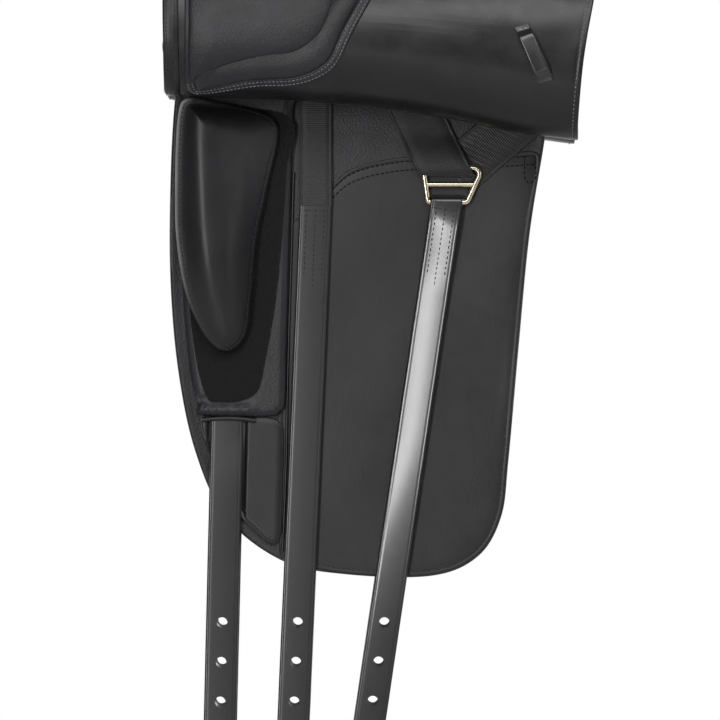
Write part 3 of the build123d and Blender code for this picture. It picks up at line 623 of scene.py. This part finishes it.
def sweat_side(side, s):
    """Sweat flap, its smooth overlay, padded front, loop patch and knee block."""
    lay = barrel(side)
    leaf(f"sweat_flap_{s}", SWEAT_OUTLINE, lay, SWEAT_T, sweat_face, grained, "saddle",
         [f"sweat_flap_{s}"], rings=40, around=320, centre=(-45, -180))
    over = barrel(side, SWEAT_T - 0.35)
    leaf(f"sweat_overlay_{s}", OVERLAY, over, 1.5, overlay_face, calf, "saddle", rings=36,
         around=300, centre=(-10, -210), round_edge=0.5)
    top = SWEAT_T + 1.35
    cut = OVERLAY[2:10]
    for gap in (3.6, 10.6):
        sew("saddle", [line_on([(u, v - gap) for u, v in cut], barrel(side, top), 0.1, 160)], length=3.2,
            thread=1.15, material=thread_dull)
    sew("saddle", [line_on([(96, -48), (96.5, -66), (104, -66), (104.5, -48)], barrel(side, top), 0.1, 40)],
        length=3.2, thread=1.15, material=thread_dull)
    sew("saddle", [seam(SWEAT_OUTLINE, 9.5, barrel(side, SWEAT_T), -0.2, 0.06, 0.5)], thread=0.7)
    sew("saddle", [seam(OVERLAY, 3.2, barrel(side, top), 0.1, 0.47, 0.86)], thread=0.6)

    pad_lay = flat_lay(side, SWEAT_FACE)
    outline = PAD_FRONT + PAD_REAR
    leaf(f"front_pad_{s}", outline, barrel(side, SWEAT_T), 10.0, pad_face, grained, "saddle",
         [f"front_pad_{s}", f"strap_webbing_{s}"], rings=44, around=360, centre=(-135, -120),
         round_edge=4.5)
    leaf(f"lower_pad_{s}", LOW_FRONT + LOW_REAR, pad_lay, 5.3, low_pad_face, calf, "saddle",
         [f"lower_pad_{s}"], rings=40, around=260, centre=(-118, -296), round_edge=2.0)
    bead = [(-90.4, -60), (-91.8, -114), (-93.8, -180), (-95.4, -240), (-96.2, -290), (-97.6, -330),
            (-99.4, -366)]
    cord = [(u, side * (SWEAT_FACE + 1.6), v) for u, v in smooth_loop(bead, 90, closed=False)]
    tube(f"pad_bead_{s}", cord, 1.2, polished, "saddle")
    slot_line = [(-164, -259.5), (-150, -258.4), (-136, -258.4), (-121, -260)]
    lip = [(u, side * (SWEAT_FACE + 7.0), v) for u, v in smooth_loop(slot_line, 40, closed=False)]
    tube(f"slot_lip_{s}", lip, 1.9, calf, "saddle")
    sew("saddle", [[(u, side * (SWEAT_FACE + 9.2), v + 4.2) for u, v in slot_line]], thread=0.7)
    sew("saddle", [[(u, side * (SWEAT_FACE + 5.2), v) for u, v in smooth_loop(
        ((-160.5, -272), (-137, -322), (-107, -357)), 60, closed=False)]], thread=0.7)

    leaf(f"loop_patch_{s}", PATCH, flat_lay(side, PATCH_IN - 0.4), 1.5,
         lambda u, v, gap: (0.6 * noise.noise(Vector((u / 1.7, v / 1.7, 0.5))) - 0.2
                            - 0.7 * ease(1 - gap / 3)),
         loop_pile, "saddle", [f"loop_patch_{s}"], rings=80, around=420,
         centre=(-135, -125), round_edge=0.5)

    block = leaf(f"knee_block_{s}", BLOCK, flat_lay(side, BLOCK_IN), 5.0, block_face, moulded,
                 f"knee_block_{s}",
                 [f"knee_block_{s}"], rings=56, around=300, centre=(-146, -95),
                 round_edge=2.4)
    run = []
    loop = smooth_loop(BLOCK, 400)
    inner = inset(loop, 3.4)
    for k in range(400):
        u, v = inner[k]
        run.append((u, side * (BLOCK_IN + 5.0 + block_face(u, v, 3.4) + 0.15), v))
    run.append(run[0])
    sew(f"knee_block_{s}", [run], pitch=3.6, length=2.5, thread=0.7)


# ------------------------------------------------------------------ straps
def strap(name, top, lean, inner, width, thick, tip, body, replaces, bow=None, twist=None, holes=True):
    """Billet with rounded, creased edges, a pointed tip and punched holes. Returns its placing function."""
    side = NEAR if name.endswith("near") else OFF
    a = math.radians(lean)
    length = (top[1] - tip) / math.cos(a)
    bow = bow or (lambda t: 0.0)
    twist = twist or (lambda t: 0.0)

    def at(along, across, height):
        t = along / length
        u = top[0] - along * math.sin(a) + across * math.cos(a)
        v = top[1] - along * math.cos(a) - across * math.sin(a)
        turn = math.radians(twist(t))
        return (u - (1 - math.cos(turn)) * across,
                side * (inner + height + bow(t) + across * math.sin(turn)), v)

    half = width / 2
    front = [(half - 0.25, thick - 0.55), (half - 0.8, thick - 0.12), (half - 1.7, thick - 0.02),
             (half - 2.3, thick - 0.1),
             (half - 2.9, thick), (half - 4.2, thick + 0.03), (half * 0.4, thick + 0.1)]
    ring = ([(-half + 0.9, 0.0), (0.0, 0.0), (half - 0.9, 0.0), (half - 0.25, 0.5), (half, 1.2),
             (half, thick - 1.3)] + front
            + [(0.0, thick + 0.14)] + [(-w, h) for w, h in reversed(front)]
            + [(-half, thick - 1.3), (-half, 1.2), (-half + 0.25, 0.5)])
    marks = list(np.arange(0, length - 24, 3.2)) + [
        length - g for g in (22, 18, 14, 11, 8.5, 6.2, 4.4, 2.8, 1.5, 0.6, 0.15)]
    rows = []
    for along in marks:
        left = length - along
        narrow = min(1.0, (left / 22) ** 0.47)
        wobble = 0.12 * noise.noise(Vector((along / 30, inner, 0)))
        rows.append([at(along, w * narrow + wobble, h if narrow == 1 else h * (0.55 + 0.45 * narrow))
                     for w, h in ring])
    obj = grid_solid(name, rows, bridle, body, replaces)
    if holes:
        punch(obj, [at((top[1] + 423.0) / math.cos(a) + i * 32.0, 0, thick / 2) for i in range(7)])
    return at


def punch(obj, spots):
    """Cut round holes through a strap."""
    verts, faces = [], []
    for x, y, z in spots:
        start = len(verts)
        for depth in (-8, 8):
            verts += [(x + 4.25 * math.cos(k * math.pi / 14), y + depth,
                       z + 4.25 * math.sin(k * math.pi / 14))
                      for k in range(28)]
        faces += [(start + k, start + (k + 1) % 28, start + 28 + (k + 1) % 28,
                   start + 28 + k) for k in range(28)]
        faces += [list(range(start, start + 28)), list(range(start + 28, start + 56))]
    mesh = bpy.data.meshes.new("punch")
    mesh.from_pydata([Vector(v) * MM for v in verts], [], faces)
    tool = bpy.data.objects.new("punch", mesh)
    bpy.context.scene.collection.objects.link(tool)
    outward(tool)
    mod = obj.modifiers.new("holes", "BOOLEAN")
    mod.operation, mod.solver, mod.object = "DIFFERENCE", "EXACT", tool
    cut = bpy.data.meshes.new_from_object(obj.evaluated_get(bpy.context.evaluated_depsgraph_get()))
    obj.modifiers.clear()
    obj.data = cut
    cut.set_sharp_from_angle(angle=math.radians(40))
    bpy.data.objects.remove(tool)


def ribbon(name, place, length, width, thick, body, replaces=(), rib=1.66, step=0.42):
    """Ribbed webbing with selvedges; place(along, across, height) gives points."""
    half = width / 2
    across = [-half, -half + 0.6, -half + 1.6, -half + 2.2, -half + 3.0, -half * 0.5, 0, half * 0.5,
              half - 3.0, half - 2.2, half - 1.6, half - 0.6, half]
    rows = []
    for along in np.arange(0, length + step / 2, step):
        wave = 0.17 * math.cos(2 * math.pi * along / rib)
        back = [(w, 0.25 + 0.1 * abs(w) / half) for w in across]
        face = []
        for w in reversed(across):
            edge = abs(w) > half - 2.0
            groove = abs(abs(w) - half + 2.2) < 0.2
            rise = 0.1 if edge else (-0.3 if groove else wave)
            if abs(w) > half - 0.3:
                rise = -0.5
            face.append((w, thick + rise))
        rows.append([place(along, w, h) for w, h in back + face])
    return grid_solid(name, rows, webbing_black, body, replaces)


def arc_place(side, start, angle, first):
    """Ribbon on the barrel's surface from a point, going up at an angle from the vertical."""
    a = math.radians(angle)

    def place(along, across, h):
        u = start[0] + along * math.sin(a) + across * math.cos(a)
        w = start[1] + along * math.cos(a) - across * math.sin(a)
        radius = ARC_R + first + h
        if w <= ARC_Z:
            return (u, side * (ARC_D + radius), w)
        turn = (w - ARC_Z) / (ARC_R + first)
        return (u, side * (ARC_D + radius * math.cos(turn)), ARC_Z + radius * math.sin(turn))
    return place


def strap_side(side, s):
    """The three billets, their webbing and the V webbing that holds the ring."""
    def front_bow(t):
        return -0.5 + 4.0 * ease(t / 0.15) - 3.4 * ease((t - 0.15) / 0.4)

    at = strap(f"front_billet_{s}", (-144.0, -259.0), 1.4, STRAP_IN, BILLET_W, BILLET_T, -650,
               f"front_billet_{s}", [f"front_billet_{s}"], bow=front_bow)
    at = strap(f"middle_billet_{s}", (-72.4, -85.0), 2.5, STRAP_IN - 0.2, BILLET_W, BILLET_T, -650,
               f"middle_billet_{s}", [f"middle_billet_{s}"], bow=lambda t: 0.9 * math.sin(5 * t),
               twist=lambda t: 1.5 * math.sin(4 * t))
    billet_seams(at, f"middle_billet_{s}", -85.0)

    def mid_place(along, across, h):
        w = -87.0 + along
        lift = 3.0 + 2.0 * ease((-30 - w) / 55)
        radius = ARC_R + SWEAT_T + lift + h
        u = -72.4 + across
        if w <= ARC_Z:
            return (u, side * (ARC_D + radius), w)
        turn = (w - ARC_Z) / (ARC_R + SWEAT_T + 3.6)
        return (u, side * (ARC_D + radius * math.cos(turn)), ARC_Z + radius * math.sin(turn))
    web = ribbon(f"middle_web_{s}", mid_place, 148, BILLET_W, 1.9, None,
                 [f"middle_webbing_{s}", f"middle_web_top_{s}"], rib=1.5, step=0.4)
    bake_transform(web)

    def rear_bow(t):
        return 5.0 * ease(1 - t / 0.13) - 0.4

    def rear_twist(t):
        return REAR_TWIST * ease(t / 0.035) * (1 - ease((t - 0.30) / 0.45))

    at = strap(f"rear_billet_{s}", (32.9, -84.0), 8.4, RING_D - BILLET_T / 2 - 0.3, BILLET_W - 0.4,
               BILLET_T, -650, f"rear_billet_{s}", (), bow=rear_bow, twist=rear_twist)
    billet_seams(at, f"rear_billet_{s}", -84.0)
    strap(f"billet_turn_in_{s}", (32.9, -84.5), 8.4, RING_D - 4.9, BILLET_W - 1.4, 2.6, -160,
          f"rear_billet_{s}", (), bow=rear_bow, twist=rear_twist, holes=False)
    sleeve(f"billet_loop_{s}", 33.0 - 12.7, 33.0 + 12.7, RING_D, -84.0, (2.9, 2.9), (5.7, 5.7), side,
           bridle, f"rear_billet_{s}", [f"rear_billet_{s}"])

    rear_leg = ribbon(f"v_web_rear_{s}", arc_place(side, (38.5, -63), 49.0, SWEAT_T + 1.5), 114, 40, 1.3,
                      "saddle", (), step=0.42)
    front_leg = ribbon(f"v_web_front_{s}", wrap_place(side, (41.2, -79), -25.7, SWEAT_T + 2.9), 186, 40,
                       1.3, "saddle", [f"v_webbing_{s}"], step=0.42)


def wrap_place(side, start, angle, first):
    """As arc_place, but rises over the ring's top bar and turns round it at the lower end."""
    flat = arc_place(side, start, angle, first)
    a = math.radians(angle)
    turn_at = -55.5
    deep, tall = 4.1, 6.4

    def place(along, across, h):
        u = start[0] + along * math.sin(a) + across * math.cos(a)
        w = start[1] + along * math.cos(a) - across * math.sin(a)
        if w > ARC_Z:
            return flat(along, across, h)
        if w >= turn_at:
            rise = (RING_D + deep - ARC_D - ARC_R - first) * ease((-26 - w) / (-26 - turn_at))
            return (u, side * (ARC_D + ARC_R + first + h + rise), w)
        turn = min((turn_at - w) / 6.0, 2.9)
        return (u, side * (RING_D + (deep + h) * math.cos(turn)),
                turn_at - 1.5 * ease(turn) - (tall - 1.5 + h) * math.sin(turn))
    return place


def billet_seams(at, body, top_v):
    """Three rows of stitches in a billet's top, and a bar across."""
    rows = []
    for across, end in ((-7.2, 57), (0, 66), (7.2, 57)):
        rows.append([at(s, across, BILLET_T + 0.16) for s in np.linspace(6, end, 30)])
    rows.append([at(6, w, BILLET_T + 0.16) for w in np.linspace(-9, 9, 12)])
    sew(body, rows, pitch=4.0, length=2.7, thread=0.95)


def sleeve(name, x0, x1, depth, z, inner, outer, side, material, body, replaces=()):
    """Strap end folded round a bar that runs along X; inner and outer are (depth, height) radii."""
    def circle(x, radii):
        return [(x, side * (depth + radii[0] * math.cos(2 * math.pi * k / 64)),
                 z + radii[1] * math.sin(2 * math.pi * k / 64))
                for k in range(64)]

    rows = []
    for x in np.linspace(x0, x1, 30):
        cut = 0.5 * ease(1 - min(x - x0, x1 - x) / 0.8)
        rows.append(circle(x, (outer[0] - cut, outer[1] - cut)))
    rows += [circle(x1, inner), circle(x0, inner)]
    return grid_solid(name, rows, material, body, replaces, closed_rows=True)


# ------------------------------------------------------------------ rolled flap
PAD_EDGE = ((-162.6, 4.6), (-140, 7), (-118.2, 9.6), (-90.8, 10.5), (-69.8, 16.1), (-55.3, 26.6),
            (-44, 49.2), (-35.2, 65.3), (-27.9, 79), (-24, 92), (-24, 108))
CREASE = ((-158.5, 22.5), (-141.6, 28.2), (-113.4, 34.6), (-90.8, 37.1), (-73.9, 46.7), (-65, 58),
          (-57.7, 79), (-55, 92), (-56, 108))


def on_face(points):
    return [(x, up_the_face(x, z)) for x, z in points]


def roll_side(side, s):
    """Flap rolled up, its knee pad with a stitched border, and the front strip."""
    lay = roll_lay(side, -3.5)
    top_v = roll_table(0)[-1][0]
    over = up_the_face(0, 133)
    outline = ((-188, -78), (-100, -82), (0, -84), (80, -84), (134, -78), (138.5, -40), (138.7, 0),
               (138.6, 35), (141.5, 76),
               (145.5, 106), (152, 143), (155, 170), (150, over + 15), (120, over + 45), (40, over + 60),
               (20, top_v - 22), (20, top_v),
               (-60, top_v), (-144, top_v), (-146, top_v - 22), (-160, over + 45), (-186, over + 15),
               (-194, over - 10), (-195.5, 110), (-195, 60), (-194, 20), (-193, -40))

    def face(u, v, gap):
        sway = (1.3 * noise.noise(Vector((u / 90, v / 60, 2.2)))
                + 0.5 * noise.noise(Vector((u / 34, v / 24, 6.2))))
        return sway * ease(gap / 12) - 0.35 * hump(gap, 4.6, 1.0)

    leaf(f"flap_{s}", outline, lay, 3.5, face, polished, f"flap_{s}", [f"flap_{s}"],
         rings=90, around=420, centre=(-30, 95), round_edge=1.2)
    # Rear edge stitches in the grey thread whose colour paints their highlight.
    sew(f"flap_{s}", [line_on([(134.4, -20), (134.3, 35), (137.2, 76), (141.2, 106), (147.5, 143),
                               (150.5, 170)],
                              roll_lay(side, 0), 0.3, 200)], pitch=3.7, length=2.5, thread=0.8,
                              material=pale_thread_painted_highlight)

    border = on_face([(-177, 12), (-172, 5.5)] + list(PAD_EDGE)) + [
        (-24, over - 8), (-60, over + 4), (-120, over + 4),
        (-172, over - 8)] + on_face([(-177, 100), (-177.5, 60), (-177.5, 30)])
    leaf(f"pad_border_{s}", border, roll_lay(side, 0.3), 2.6,
         lambda u, v, gap: (-0.35 * hump(gap, 2.0, 1.0) - 0.45 * hump(gap, 5.6, 1.0)
                            - 0.9 * hump(gap, 8.2, 1.8)
                            + 3.0 * shoulder(max(gap - 8.0, 0), 9) * (1 - 0.85 * ease((gap - 18) / 14))),
         grained, f"flap_{s}", rings=70, around=420, centre=(-110, 90), round_edge=1.2)
    # Border stitches in the grey thread whose colour paints their highlight.
    for gap in (2.0, 5.6):
        sew(f"flap_{s}", [seam(border, gap, roll_lay(side, 3.0), -0.1, 0.0, 0.62, 500)], pitch=3.2,
            length=2.3, thread=0.8, material=pale_thread_painted_highlight)

    cushion = on_face([(-172, 17)] + list(CREASE)) + [(-60, over - 12), (-100, over - 2), (-150, over - 4),
                                                      (-172, over - 14)] + \
        on_face([(-174, 90), (-174.5, 50), (-174.5, 30)])

    def plump(u, v, gap):
        dome = shoulder(gap, 24)
        return 3.8 * dome + 0.5 * noise.noise(Vector((u / 40, v / 30, 0.4)))

    pad = leaf(f"flap_pad_{s}", cushion, roll_lay(side, 2.2), 2.4, plump, grained, f"flap_{s}",
               [f"flap_pad_{s}"], rings=60, around=360, centre=(-115, 95), round_edge=1.2)

    strip = [(-194.5, 30), (-194, 8), (-190, -30), (-181.5, -30), (-181.5, 8), (-182.5, 60), (-183, 120),
             (-183, over - 4), (-190, over), (-194.5, over - 12), (-195, 110), (-195, 60)]
    leaf(f"front_strip_{s}", strip, roll_lay(side, -0.2), 2.2, lambda u, v, gap: 0.7 * ease(gap / 5), calf,
         f"flap_{s}", rings=14, around=360, centre=(-188.6, 70), round_edge=1.0)
    for u in (-192.2, -185.4):
        sew(f"flap_{s}", [line_on([(u, -20), (u, 40), (u - 0.5, 110), (u - 0.5, over - 14)],
                                  roll_lay(side, 2.2), 0.4, 160)], pitch=3.4, length=2.3, thread=0.75)


def keeper_loop(side, s, centre, lean, surface):
    """Leather loop sewn down at both ends."""
    a = math.radians(lean)
    profile = [(-23, 0.3), (-19, 0.5), (-16.5, 2.6), (-14.5, 4.4), (-8, 4.7), (0, 4.8), (8, 4.7),
               (14.5, 4.4), (16.5, 2.6), (19, 0.5), (23, 0.3)]
    smooth = smooth_loop(profile, 50, closed=False)
    rows = []
    for along, rise in smooth:
        row = []
        for w, h in ((-5.6, 0), (5.6, 0), (6.2, 0.6), (6.2, 1.4), (5.4, 1.9), (4.6, 1.75), (0, 2.0),
                     (-4.6, 1.75), (-5.4, 1.9),
                     (-6.2, 1.4), (-6.2, 0.6)):
            u = centre[0] + w * math.cos(a) + along * math.sin(a)
            v = centre[1] + w * math.sin(a) - along * math.cos(a)
            row.append(surface(u, v, rise + h))
        rows.append(row)
    grid_solid(f"keeper_{s}", rows, bridle, f"flap_{s}", [f"keeper_{s}"])
    for along in (-20.5, 20.5):
        run = []
        for w in np.linspace(-4.4, 4.4, 8):
            u = centre[0] + w * math.cos(a) + along * math.sin(a)
            v = centre[1] + w * math.sin(a) - along * math.cos(a)
            run.append(surface(u, v, 2.4))
        sew(f"flap_{s}", [run], pitch=2.8, length=2.0, thread=0.7)


# ------------------------------------------------------------------ skirts
def skirt_lay(side):
    """Skirt over the rolled flap: v is the length out from its root."""
    line = smooth_loop(((108, 92), (138, 124), (212, 141)), 80, closed=False)
    lengths = np.concatenate([[0], np.cumsum(np.linalg.norm(np.diff(line, axis=0), axis=1))])

    def lay(u, v, h):
        v = min(max(v, 0.0), lengths[-1])
        k = min(max(int(np.searchsorted(lengths, v)), 1), len(line) - 1)
        t = (v - lengths[k - 1]) / (lengths[k] - lengths[k - 1])
        d, z = line[k - 1] + (line[k] - line[k - 1]) * t
        along = line[k] - line[k - 1]
        along = along / np.linalg.norm(along)
        return (u, side * (d - along[1] * h), z + along[0] * h)
    return lay, lengths[-1]


def skirt(side, s):
    lay, reach = skirt_lay(side)
    outline = [(18, 7), (24, 22), (54, 62), (42, reach - 14), (-30, reach - 1), (-100, reach - 14),
               (-131, 62), (-129, 18), (-126, 7), (-50, 7)]

    def face(u, v, gap):
        return 0.4 * noise.noise(Vector((u / 50, v / 40, 8.0))) - 0.3 * hump(gap, 4.0, 1.0)

    leaf(f"skirt_{s}", outline, lay, 4.0, face, polished, f"skirt_{s}", [f"skirt_{s}"],
         rings=40, around=300, centre=(-42, 62), round_edge=1.4)
    sew(f"skirt_{s}", [seam(outline, 4.0, lay, 4.0, 0.05, 0.8)], thread=0.8)


# ------------------------------------------------------------------ seat and panels
STATIONS = (-186, -150, -100, -40, 20, 80, 130, 175, 212, 236)
HALF_WIDTH = (50, 62, 80, 94, 104, 116, 128, 132, 112, 62)
EDGE_Z = (120, 107, 93, 85, 84, 93, 112, 135, 160, 182)
CROWN_Z = (160, 152, 136, 117, 112, 122, 145, 176, 203, 208)


def seat_curve(x, shrink, rise, count=48):
    """Crowned section of the seat at x, from one edge over the crown to the other."""
    rows = smooth_loop(list(zip(STATIONS, HALF_WIDTH, EDGE_Z, CROWN_Z)), 120, closed=False)
    half, low, high = (np.interp(x, rows[:, 0], rows[:, k]) for k in (1, 2, 3))
    half, low, high = half - shrink, low + rise, high - shrink
    side_z = low + 0.55 * (high - low)
    points = ((-half, low), (-0.86 * half, side_z), (0, high), (0.86 * half, side_z), (half, low))
    return [(x, y, z) for y, z in smooth_loop(points, count, closed=False)]


def scaled(curve, share, push):
    x, z = curve[0][0], sum(p[2] for p in curve) / len(curve)
    return [(x + push, p[1] * share, z + (p[2] - z) * share) for p in curve]


def seat():
    """Leather cover over the foam, its seams, and the piping round its edge."""
    def ring(outer, inner):
        return outer + list(reversed(inner))

    xs = list(np.arange(-184, 236, 4))
    rows = []
    for push, share in ((-7.5, 0.35), (-6, 0.66), (-3.4, 0.88)):
        outer = scaled(seat_curve(-184, 0, 0), share, push)
        rows.append(ring(outer, [(x, y * 0.9, outer[0][2] + 0.2) for x, y, z in outer]))
    outer = seat_curve(-184, 0, 0)
    rows.append(ring(outer, [(x, y * 0.95, outer[0][2] + 0.2) for x, y, z in outer]))
    for x in xs[1:-1]:
        rows.append(ring(seat_curve(x, 0, 0), seat_curve(x, 3, 0)))
    outer = seat_curve(234, 0, 0)
    rows.append(ring(outer, [(x, y * 0.95, outer[0][2] + 0.2) for x, y, z in outer]))
    for push, share in ((3.4, 0.88), (6, 0.66), (7.5, 0.35)):
        outer = scaled(seat_curve(234, 0, 0), share, push)
        rows.append(ring(outer, [(x, y * 0.9, outer[0][2] + 0.2) for x, y, z in outer]))
    grid_solid("seat_cover", rows, seat_hide, "saddle", ["seat_cover"])

    rows = []
    for x in np.arange(-168, 224, 6):
        floor = seat_curve(x, 0, 0)[0][2] + 9.0
        kept = [p for p in seat_curve(x, 4.4, 0) if p[2] >= floor]
        top = [tuple(p) for p in smooth_loop(kept, 48, closed=False)]
        rows.append(top + [(x, top[-1 - k][1] * 0.98, top[0][2] - 0.5) for k in range(0, len(top), 4)])
    foam = grid_solid("seat_foam", rows, foam_cell, "saddle", ["seat_foam"])

    edge = []
    for x in np.arange(-186, 237, 6):
        curve = seat_curve(x, -1.4, 0)
        edge.append((curve[0], curve[-1]))
    line = [a for a, b in edge] + [b for a, b in reversed(edge)]
    tube("seat_welt", line, 2.2, edge_dye, "saddle", closed=True, replaces=["seat_welt"])
    for share in (7, 10):
        for end in (share, -1 - share):
            sew("saddle", [[seat_curve(x, -0.3, 0)[end] for x in np.arange(-150, 215, 5)]], thread=0.8)


PANEL = (
    (-186, (32, 60), (98, -66), (108, -56), (44, 82)), (-130, (32, 38), (102, -56), (110, -40), (44, 66)),
    (-80, (32, 12), (114, -24), (124, 8), (42, 62)), (0, (32, 2), (120, -10), (127, 20), (40, 60)),
    (80, (34, 8), (114, 2), (118, 34), (42, 68)), (150, (38, 84), (94, 81), (98, 97), (44, 107)),
    (205, (46, 102), (86, 99), (90, 124), (50, 136)),
)


def panel(side, s):
    """Flocked panel: soft rounded sections through the stations."""
    table = np.array([[x, *a, *b, *c, *d] for x, a, b, c, d in PANEL], float)
    dense = smooth_loop(table, 90, closed=False)
    count = 48
    rows = []
    for i, row in enumerate(dense):
        a, b, c, d = (row[k:k + 2] for k in (1, 3, 5, 7))
        close = min(row[0] - dense[0][0], dense[-1][0] - row[0])
        share = 0.55 + 0.45 * shoulder(close, 12)
        ring = []
        for k in range(count):
            t = 2 * math.pi * k / count
            p = 0.5 + 0.5 * share * math.copysign(abs(math.cos(t)) ** 0.62, math.cos(t))
            q = 0.5 + 0.5 * share * math.copysign(abs(math.sin(t)) ** 0.62, math.sin(t))
            low, high = a + (b - a) * p, d + (c - d) * p
            y, z = low + (high - low) * q
            ring.append((row[0], side * y, z))
        rows.append(ring)
    obj = grid_solid(f"panel_{s}", rows, calf, "saddle", [f"panel_{s}"])
    for share in (int(count * 0.04), int(count * 0.96) - 1):
        sew("saddle", [[r[share] for r in rows[4:-4]]], thread=0.8)


def lining():
    """Woven strip on each side of the gullet channel."""
    for side, s in SIDES:
        rows = []
        for x in np.arange(-30, 90.5, 4):
            rows.append([(x, side * d, z) for d, z in ((27.6, 66), (30.4, 66), (30.4, 78), (27.6, 78))])
        grid_solid(f"channel_lining_{s}", rows, webbing_black, "saddle", ["channel_lining"])


for side, s in SIDES:
    sweat_side(side, s)
    strap_side(side, s)
    panel(side, s)
    roll_side(side, s)
    keeper_loop(side, s, (103, up_the_face(103, 34.8)), 26, roll_lay(side, 0))
    skirt(side, s)
seat()
lining()
make_stitches()

# CAD pieces that stay as they are: each gets its own finish.
KEPT = {
    "v_ring": nickel, "front_dee": nickel, "saddle_nails": nickel, "stirrup_bar": bar_steel,
    "bar_catch": bar_steel,
    "dee_staples": bar_steel, "tree_frame": beech, "head_plate": spring_steel, "gullet_plate": spring_steel,
    "tree_rivets": bar_steel, "spring_steels": spring_steel, "seat_webbing": webbing_black,
    "point_pockets": calf, "block_hooks": hook_nylon, }
for node_name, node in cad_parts.items():
    if node.hide_render:
        continue
    base = node_name.rsplit("_", 1)[0] if node_name.endswith(("_near", "_off")) else node_name
    if base not in KEPT:
        raise SystemExit(f"no finish for {node_name}")
    node.data.materials.clear()
    node.data.materials.append(KEPT[base])

# ------------------------------------------------------------------ studio
def plain(name, code):
    mat = bpy.data.materials.new(name)
    mat.use_nodes = True
    shader = mat.node_tree.nodes["Principled BSDF"]
    shader.inputs["Base Color"].default_value = linear(code)
    shader.inputs["Roughness"].default_value = 0.9
    return mat


def lit_front_only(name, strength):
    """Glowing sheet that is clear from behind."""
    mat = bpy.data.materials.new(name)
    mat.use_nodes = True
    tree = mat.node_tree
    tree.nodes.clear()
    glow = put(tree, "ShaderNodeEmission", Color=linear("#ffffff"), Strength=strength)
    clear = put(tree, "ShaderNodeBsdfTransparent")
    back = put(tree, "ShaderNodeNewGeometry").outputs["Backfacing"]
    both = put(tree, "ShaderNodeMixShader", i0=back, i1=glow.outputs[0], i2=clear.outputs[0])
    put(tree, "ShaderNodeOutputMaterial", Surface=both.outputs[0])
    return mat


def plane(name, corners, material):
    mesh = bpy.data.meshes.new(name)
    mesh.from_pydata(corners, [], [(0, 1, 2, 3)])
    obj = bpy.data.objects.new(name, mesh)
    bpy.context.scene.collection.objects.link(obj)
    mesh.materials.append(material)


def lamp(name, place, aim, size, bright):
    """Softbox; bright is how bright its face looks."""
    data = bpy.data.lights.new(name, "AREA")
    data.shape, data.size, data.size_y = "RECTANGLE", size[0], size[1]
    data.energy = bright * math.pi * size[0] * size[1]
    obj = bpy.data.objects.new(name, data)
    obj.location = place
    obj.rotation_euler = (Vector(aim) - Vector(place)).to_track_quat("-Z", "Y").to_euler()
    bpy.context.scene.collection.objects.link(obj)


# Metres: half the floor's width, its height under the hanging straps, and the backdrop behind.
ROOM_HALF, FLOOR_Z, BACKDROP_Y = 3, -0.75, 2.2
plane("floor", [(-ROOM_HALF, -ROOM_HALF, FLOOR_Z), (ROOM_HALF, -ROOM_HALF, FLOOR_Z),
                (ROOM_HALF, ROOM_HALF, FLOOR_Z), (-ROOM_HALF, ROOM_HALF, FLOOR_Z)],
                plain("white_paper", "#f4f4f4"))
plane("backdrop", [(-ROOM_HALF, BACKDROP_Y, FLOOR_Z), (ROOM_HALF, BACKDROP_Y, FLOOR_Z),
                   (ROOM_HALF, BACKDROP_Y, ROOM_HALF), (-ROOM_HALF, BACKDROP_Y, ROOM_HALF)],
      lit_front_only("lit_backdrop", 1.0))

lamp("overhead_front", (0.1, -2.74, 1.25), (0, 0, -0.05), (2.4, 1.0), 4.0)
lamp("left_strip", (-0.95, -3.0, -0.05), (0, -0.15, -0.15), (0.24, 1.3), 22)
lamp("right_side", (2.4, -1.6, 0.3), (0, 0, 0), (0.8, 1.6), 1.5)

world = bpy.data.worlds.new("studio")
bpy.context.scene.world = world
world.use_nodes = True
world.node_tree.nodes["Background"].inputs["Color"].default_value = linear("#f2f3f5")
world.node_tree.nodes["Background"].inputs["Strength"].default_value = 0.15
bpy.context.scene.view_settings.view_transform = "Standard"

# A long lens far away: the near and off straps, and their holes, line up.
camera = bpy.data.objects.new("camera", bpy.data.cameras.new("camera"))
camera.location = (-0.0368, -25.956, -0.2113)
camera.rotation_euler = (math.radians(90), 0, 0)
camera.data.sensor_width = 36
camera.data.lens = 1600
camera.data.clip_start = 1
camera.data.clip_end = 60
bpy.context.scene.collection.objects.link(camera)
bpy.context.scene.camera = camera
